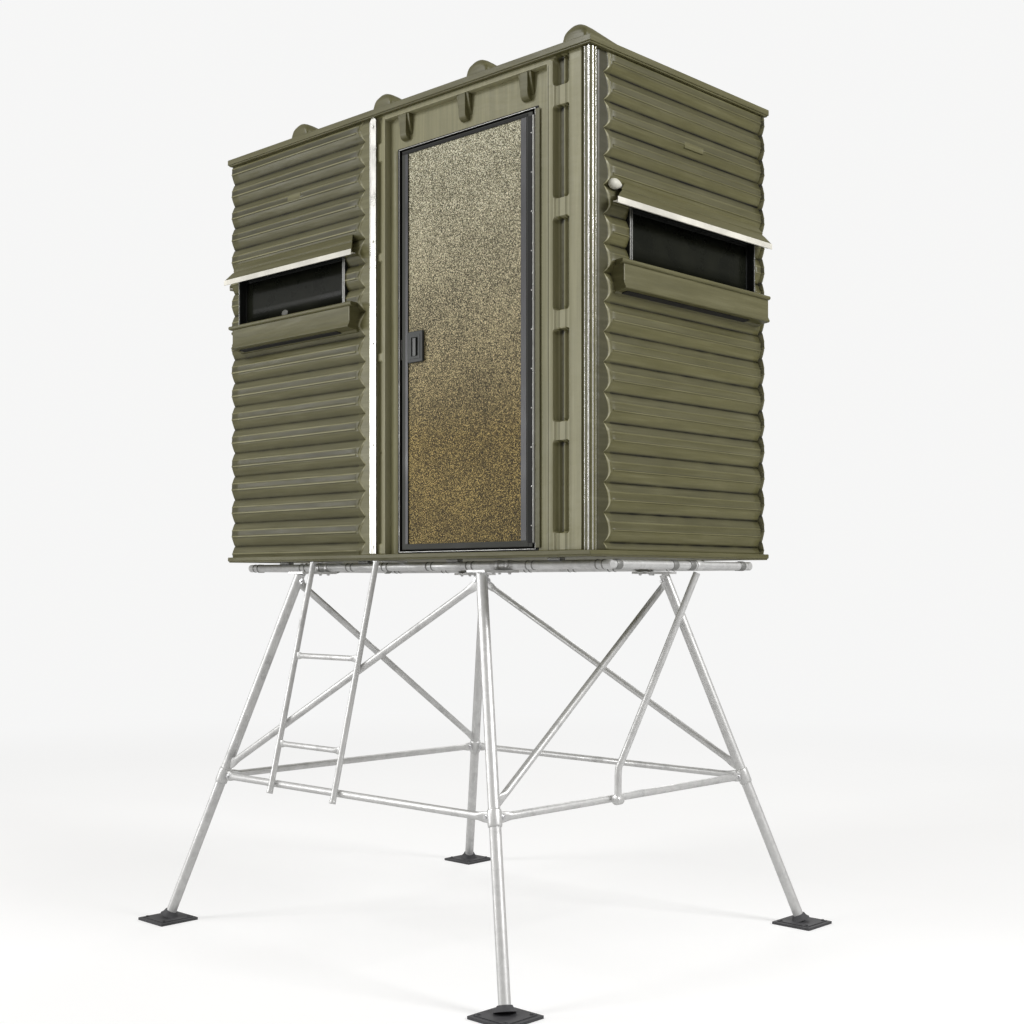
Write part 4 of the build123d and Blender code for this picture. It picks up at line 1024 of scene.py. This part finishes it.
def brace_nuts():
    """Bolt heads on both sides of each pressed end at the ring, and one on each face at a leg's top."""
    bm = bmesh.new()
    for corner, (side_x, side_y) in CORNERS.items():
        to_side, to_front = Vector((side_x, 0, 0)), Vector((0, side_y, 0))
        for inward, out in ((-to_side, to_front), (-to_front, to_side)):
            place = leg_point(corner, RING_Z) + inward * 44
            bolt(bm, place + out * 4, out, 8.5, 7)
            bolt(bm, place - out * 4, -out, 8.5, 7)
            bolt(bm, leg_point(corner, BRACE_HIGH) + inward * 34 + out * 4, out, 8, 6)
    finish_mesh("brace_nuts", bm, HARDWARE, 30, replaces="brace_bolts")


RAIL_Y, RAIL_Z, END_X = 480, BASE_Z - 29, 1180


def outrigger():
    """Side strut from the right end tube down to the ring, bent just above its foot."""
    route = [(1178, 108, 1664), (962, -129, 872), (953, -142, 838), (952, -145, 800), (952, -145, 690)]
    bm = bmesh.new()
    sweep(bm, route, [(15, 15)] * len(route), 20)
    collar(bm, (952, -145, RING_Z), (0, 1, 0), 22, 40, 17)
    collar(bm, (END_X, 110, RAIL_Z), (0, 1, 0), 23, 44, 19)
    finish_mesh("outrigger_strut", bm, TUBE, 40, replaces="side_struts")


def platform():
    """Two rails along the tower and an end tube across them at each end."""
    for side, face in ((-1, "front"), (1, "rear")):
        ends = [(x, side * RAIL_Y, RAIL_Z) for x in (-END_X - 19, -END_X - 14, END_X + 14, END_X + 19)]
        bm = bmesh.new()
        sweep(bm, ends, [(15, 15), (19, 19), (19, 19), (15, 15)], 24)
        finish_mesh(f"rail_{face}", bm, TUBE, 40, replaces=f"platform_rail_{face}")
    bm = bmesh.new()
    for x in (-END_X, END_X):
        rod(bm, (x, -RAIL_Y, RAIL_Z), (x, RAIL_Y, RAIL_Z), 18, 24)
    finish_mesh("end_tubes", bm, TUBE, 40, replaces="platform_end_tubes")


def sleeves():
    """Coupling rings in pairs along the rails, and single ones on the end tubes."""
    bm = bmesh.new()
    for x in (-1140, -760, -405, -150, 150, 405, 760, 1140):
        for side in (-1, 1):
            for shift in (-17, 17):
                collar(bm, (x + shift, side * RAIL_Y, RAIL_Z), (1, 0, 0), 20.6, 7, 18.8)
    for y in (-430, -60, 60, 430):
        for x in (-END_X, END_X):
            collar(bm, (x, y, RAIL_Z), (0, 1, 0), 21.5, 36, 18)
    finish_mesh("sleeves", bm, SLEEVE_STEEL, 40, replaces="coupling_sleeves", slot="zinc_hardware")


def clamps():
    """Plate under the rail at each leg top, with two collars and four bolts."""
    bm = bmesh.new()
    for side_x, side_y in CORNERS.values():
        x, inner, outer = side_x * LEG_TOP[0], side_y * (RAIL_Y - 34), side_y * (LEG_TOP[1] + 34)
        block(bm, (x - 54, min(inner, outer), RAIL_Z - 31), (x + 54, max(inner, outer), RAIL_Z - 20))
        for shift in (-30, 30):
            collar(bm, (x + shift, side_y * RAIL_Y, RAIL_Z), (1, 0, 0), 23, 22, 19)
            bolt(bm, (x + shift, side_y * RAIL_Y, RAIL_Z - 31), -UP, 7, 6)
            bolt(bm, (x + shift, side_y * (LEG_TOP[1] - 42), RAIL_Z - 31), -UP, 7, 6)
    finish_mesh("clamps", bm, TUBE, 30, 1.5, replaces="tube_clamps", slot="zinc_hardware")


def floor_blocks():
    """Blocks that carry the tray on the rails."""
    bm = bmesh.new()
    for x in (-900, -300, 300, 900):
        for side in (-1, 1):
            block(bm, (x - 35, side * RAIL_Y - 17, RAIL_Z + 18), (x + 35, side * RAIL_Y + 17, BASE_Z - 0.2))
    finish_mesh("floor_blocks", bm, SLEEVE_STEEL, 30, 1.5, slot="zinc_hardware")


LADDER_TOP, LADDER_FOOT = Vector((0, -643, 1716)), Vector((0, -898, 645))
LADDER_SIDES = (-484, -34)


def ladder():
    """Two sides that lean on the tower's front, with hooks over the platform and two rungs."""
    bm = bmesh.new()
    for x in LADDER_SIDES:
        shift = Vector((x, 0, 0))
        low = LADDER_FOOT + shift + (LADDER_TOP - LADDER_FOOT) * 0.016
        rod(bm, low, LADDER_TOP + shift, 13.5)
        collar(bm, low + Vector((0, 0, 6)), LADDER_TOP - LADDER_FOOT, 15, 16, 12)
    finish_mesh("ladder_sides", bm, TUBE, 40, replaces="ladder_stringers")
    bm = bmesh.new()
    for x in LADDER_SIDES:
        block(bm, (x - 12, -650, 1715), (x + 12, -468, 1720))
        block(bm, (x - 12, -653, 1688), (x + 12, -648, 1720))
    finish_mesh("ladder_hooks", bm, HARDWARE, 30, 1.5)
    bm = bmesh.new()
    for z in (885, 1285):
        share = (z - LADDER_FOOT.z) / (LADDER_TOP.z - LADDER_FOOT.z)
        y = LADDER_FOOT.y + (LADDER_TOP.y - LADDER_FOOT.y) * share
        pressed_tube(bm, (LADDER_SIDES[0] + 8, y, z), (LADDER_SIDES[1] - 8, y, z), 12.5, 34)
    finish_mesh("ladder_steps", bm, TUBE, 40, replaces="ladder_rungs")


def feet():
    """Square pads with a raised middle, a socket that the leg stands in, and four bolts each."""
    bm = bmesh.new()
    for corner, (side_x, side_y) in CORNERS.items():
        x, y = side_x * LEG_FOOT[0], side_y * LEG_FOOT[1]
        block(bm, (x - 101, y - 101, 0), (x + 101, y + 101, 12))
        block(bm, (x - 84, y - 84, 11), (x + 84, y + 84, 16))
        socket = ((21, 46), (26, 41), (33, 35), (42, 31.5), (45, 30), (45, 25), (38, 24.4))  # height, radius
        sweep(bm, [leg_point(corner, z) for z, _ in socket], [(r, r) for _, r in socket], 28,
              across=(1, 0, 0))
        for shift_x in (-70, 70):
            for shift_y in (-70, 70):
                bolt(bm, (x + shift_x, y + shift_y, 15.6), UP, 7, 4)
    finish_mesh("feet", bm, PAD, 30, 2.0, replaces="foot_pads")


# ---- CAD nodes that stay
KEPT = {
    JAMB_BLACK: ("door_jamb", "window_tracks"), SEAL_AND_SHADOW: ("door_seal",), LINER: ("door_liner",),
    TRIM: ("corner_posts",), HINGE_STEEL: ("door_hinge_pin",),
    LATCH_STEEL: ("latch_bolt", "latch_keeper", "latch_pin"),
}


def finish_kept_nodes():
    for finish, names in KEPT.items():
        for name in names:
            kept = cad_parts[name]
            if not kept.material_slots:
                kept.data.materials.append(finish)
            for slot in kept.material_slots:
                slot.material = finish


# ---- floor, light and camera
BACKDROP = (0.925, 0.925, 0.922)
AMBIENT = 0.42  # light from all round
FLOOR_LIFT = 0.44  # lifts the floor to the backdrop's white, for the camera only
FLOOR_RADIUS, FADE_START, FADE_END = 60, 3.0, 11.0  # metres


def emission(tree, colour, strength):
    return node(tree, "Emission", {"Color": colour, "Strength": strength})[0]


def camera_rays(tree):
    return node(tree, "LightPath", {})["Is Camera Ray"]


def floor_finish():
    """Pale matt floor that fades into the backdrop with the distance from the object."""
    made, tree, shader, coords = material("floor_pale", (0.62, 0.62, 0.62), 0.9)
    dress(tree, shader, ramp(tree, speckle(tree, coords, 0.6, 2), (0.3, 0.61), (0.7, 0.63)), 0.9, 0.05)
    distance = node(tree, "VectorMath", {0: coords}, operation="LENGTH")["Value"]
    far = ranged(tree, distance, FADE_START, FADE_END, kind="SMOOTHSTEP")
    near = node(tree, "AddShader", {0: shader.outputs[0], 1: emission(tree, (1, 1, 1), FLOOR_LIFT)})[0]
    seen = mix_shader(tree, far, near, emission(tree, BACKDROP, 1.0))
    surface = mix_shader(tree, camera_rays(tree), shader.outputs[0], seen)
    tree.links.new(surface, tree.nodes["Material Output"].inputs["Surface"])
    return made


def lay_floor():
    bm = bmesh.new()
    turns = (2 * pi * k / 64 for k in range(64))
    bm.faces.new([bm.verts.new((FLOOR_RADIUS * cos(a), FLOOR_RADIUS * sin(a), 0)) for a in turns])
    mesh = bpy.data.meshes.new("floor")
    bm.to_mesh(mesh)
    bm.free()
    mesh.materials.append(floor_finish())
    placed("floor", mesh)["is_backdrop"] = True


def studio():
    """Even light from all round, with the backdrop's white behind."""
    world = bpy.data.worlds.new("studio")
    bpy.context.scene.world = world
    world.use_nodes = True
    tree = world.node_tree
    backdrop = tree.nodes["Background"]
    backdrop.inputs["Color"].default_value = (*BACKDROP, 1)
    ambient = node(tree, "Background", {"Color": (1, 0.985, 0.95), "Strength": AMBIENT})[0]
    surface = mix_shader(tree, camera_rays(tree), ambient, backdrop.outputs[0])
    tree.links.new(surface, tree.nodes["World Output"].inputs["Surface"])
    bpy.context.scene.view_settings.view_transform = "Standard"


def softbox(name, place, target, size, energy):
    lamp = bpy.data.lights.new(name, "AREA")
    lamp.shape = "SQUARE"
    lamp.size = size
    lamp.energy = energy
    holder = placed(name, lamp)
    holder.location = place
    holder.rotation_euler = (Vector(target) - Vector(place)).to_track_quat("-Z", "Y").to_euler()


def lights():
    softbox("key", (-3.5, -7.5, 7.5), (0, 0, 2.6), 2.6, 300)
    softbox("front", (-6.5, -7.0, 3.0), (0.4, 0, 2.8), 3.0, 200)
    softbox("side", (8.0, 1.5, 6.0), (0.8, 0, 2.6), 2.6, 430)
    softbox("back", (-4, 8, 6), (0, 0, 2.6), 4.0, 120)


def set_camera():
    """Level camera low at the near corner, its frame shifted up to take in the whole tower."""
    camera = bpy.data.cameras.new("camera")
    camera.lens = 49.70
    camera.sensor_width = 36
    camera.shift_y = 0.0707
    camera.clip_end = 300
    holder = placed("camera", camera)
    holder.location = (4.7683, -4.8013, 1.6143)
    holder.rotation_euler = (radians(90), 0, radians(43.63))
    bpy.context.scene.camera = holder


# ---- the whole scene
for wall_name, wall_sizes in WALLS.items():
    opening = (*span(*wall_sizes.window), WINDOW_LOW, WINDOW_HIGH)
    wall_panel(wall_name)
    window_hood(wall_name)
    window_sill(wall_name)
    window_frame(wall_name, opening)
    window_sash(wall_name, opening)
knobs()
door_wall()
header_hooks()
door_leaf()
hinge_leaves()
hinge_knuckles()
latch()
joint_strips()
corner_trim()
tray()
roof_rim()
roof_ribs()
legs()
braces()
brace_nuts()
outrigger()
platform()
sleeves()
clamps()
floor_blocks()
ladder()
feet()
finish_kept_nodes()
lay_floor()
studio()
lights()
set_camera()

sizes = {"cad": CAD_BOX, "visual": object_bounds()}
{label: [list(map(float, corner)) for corner in box] for label, box in sizes.items()}
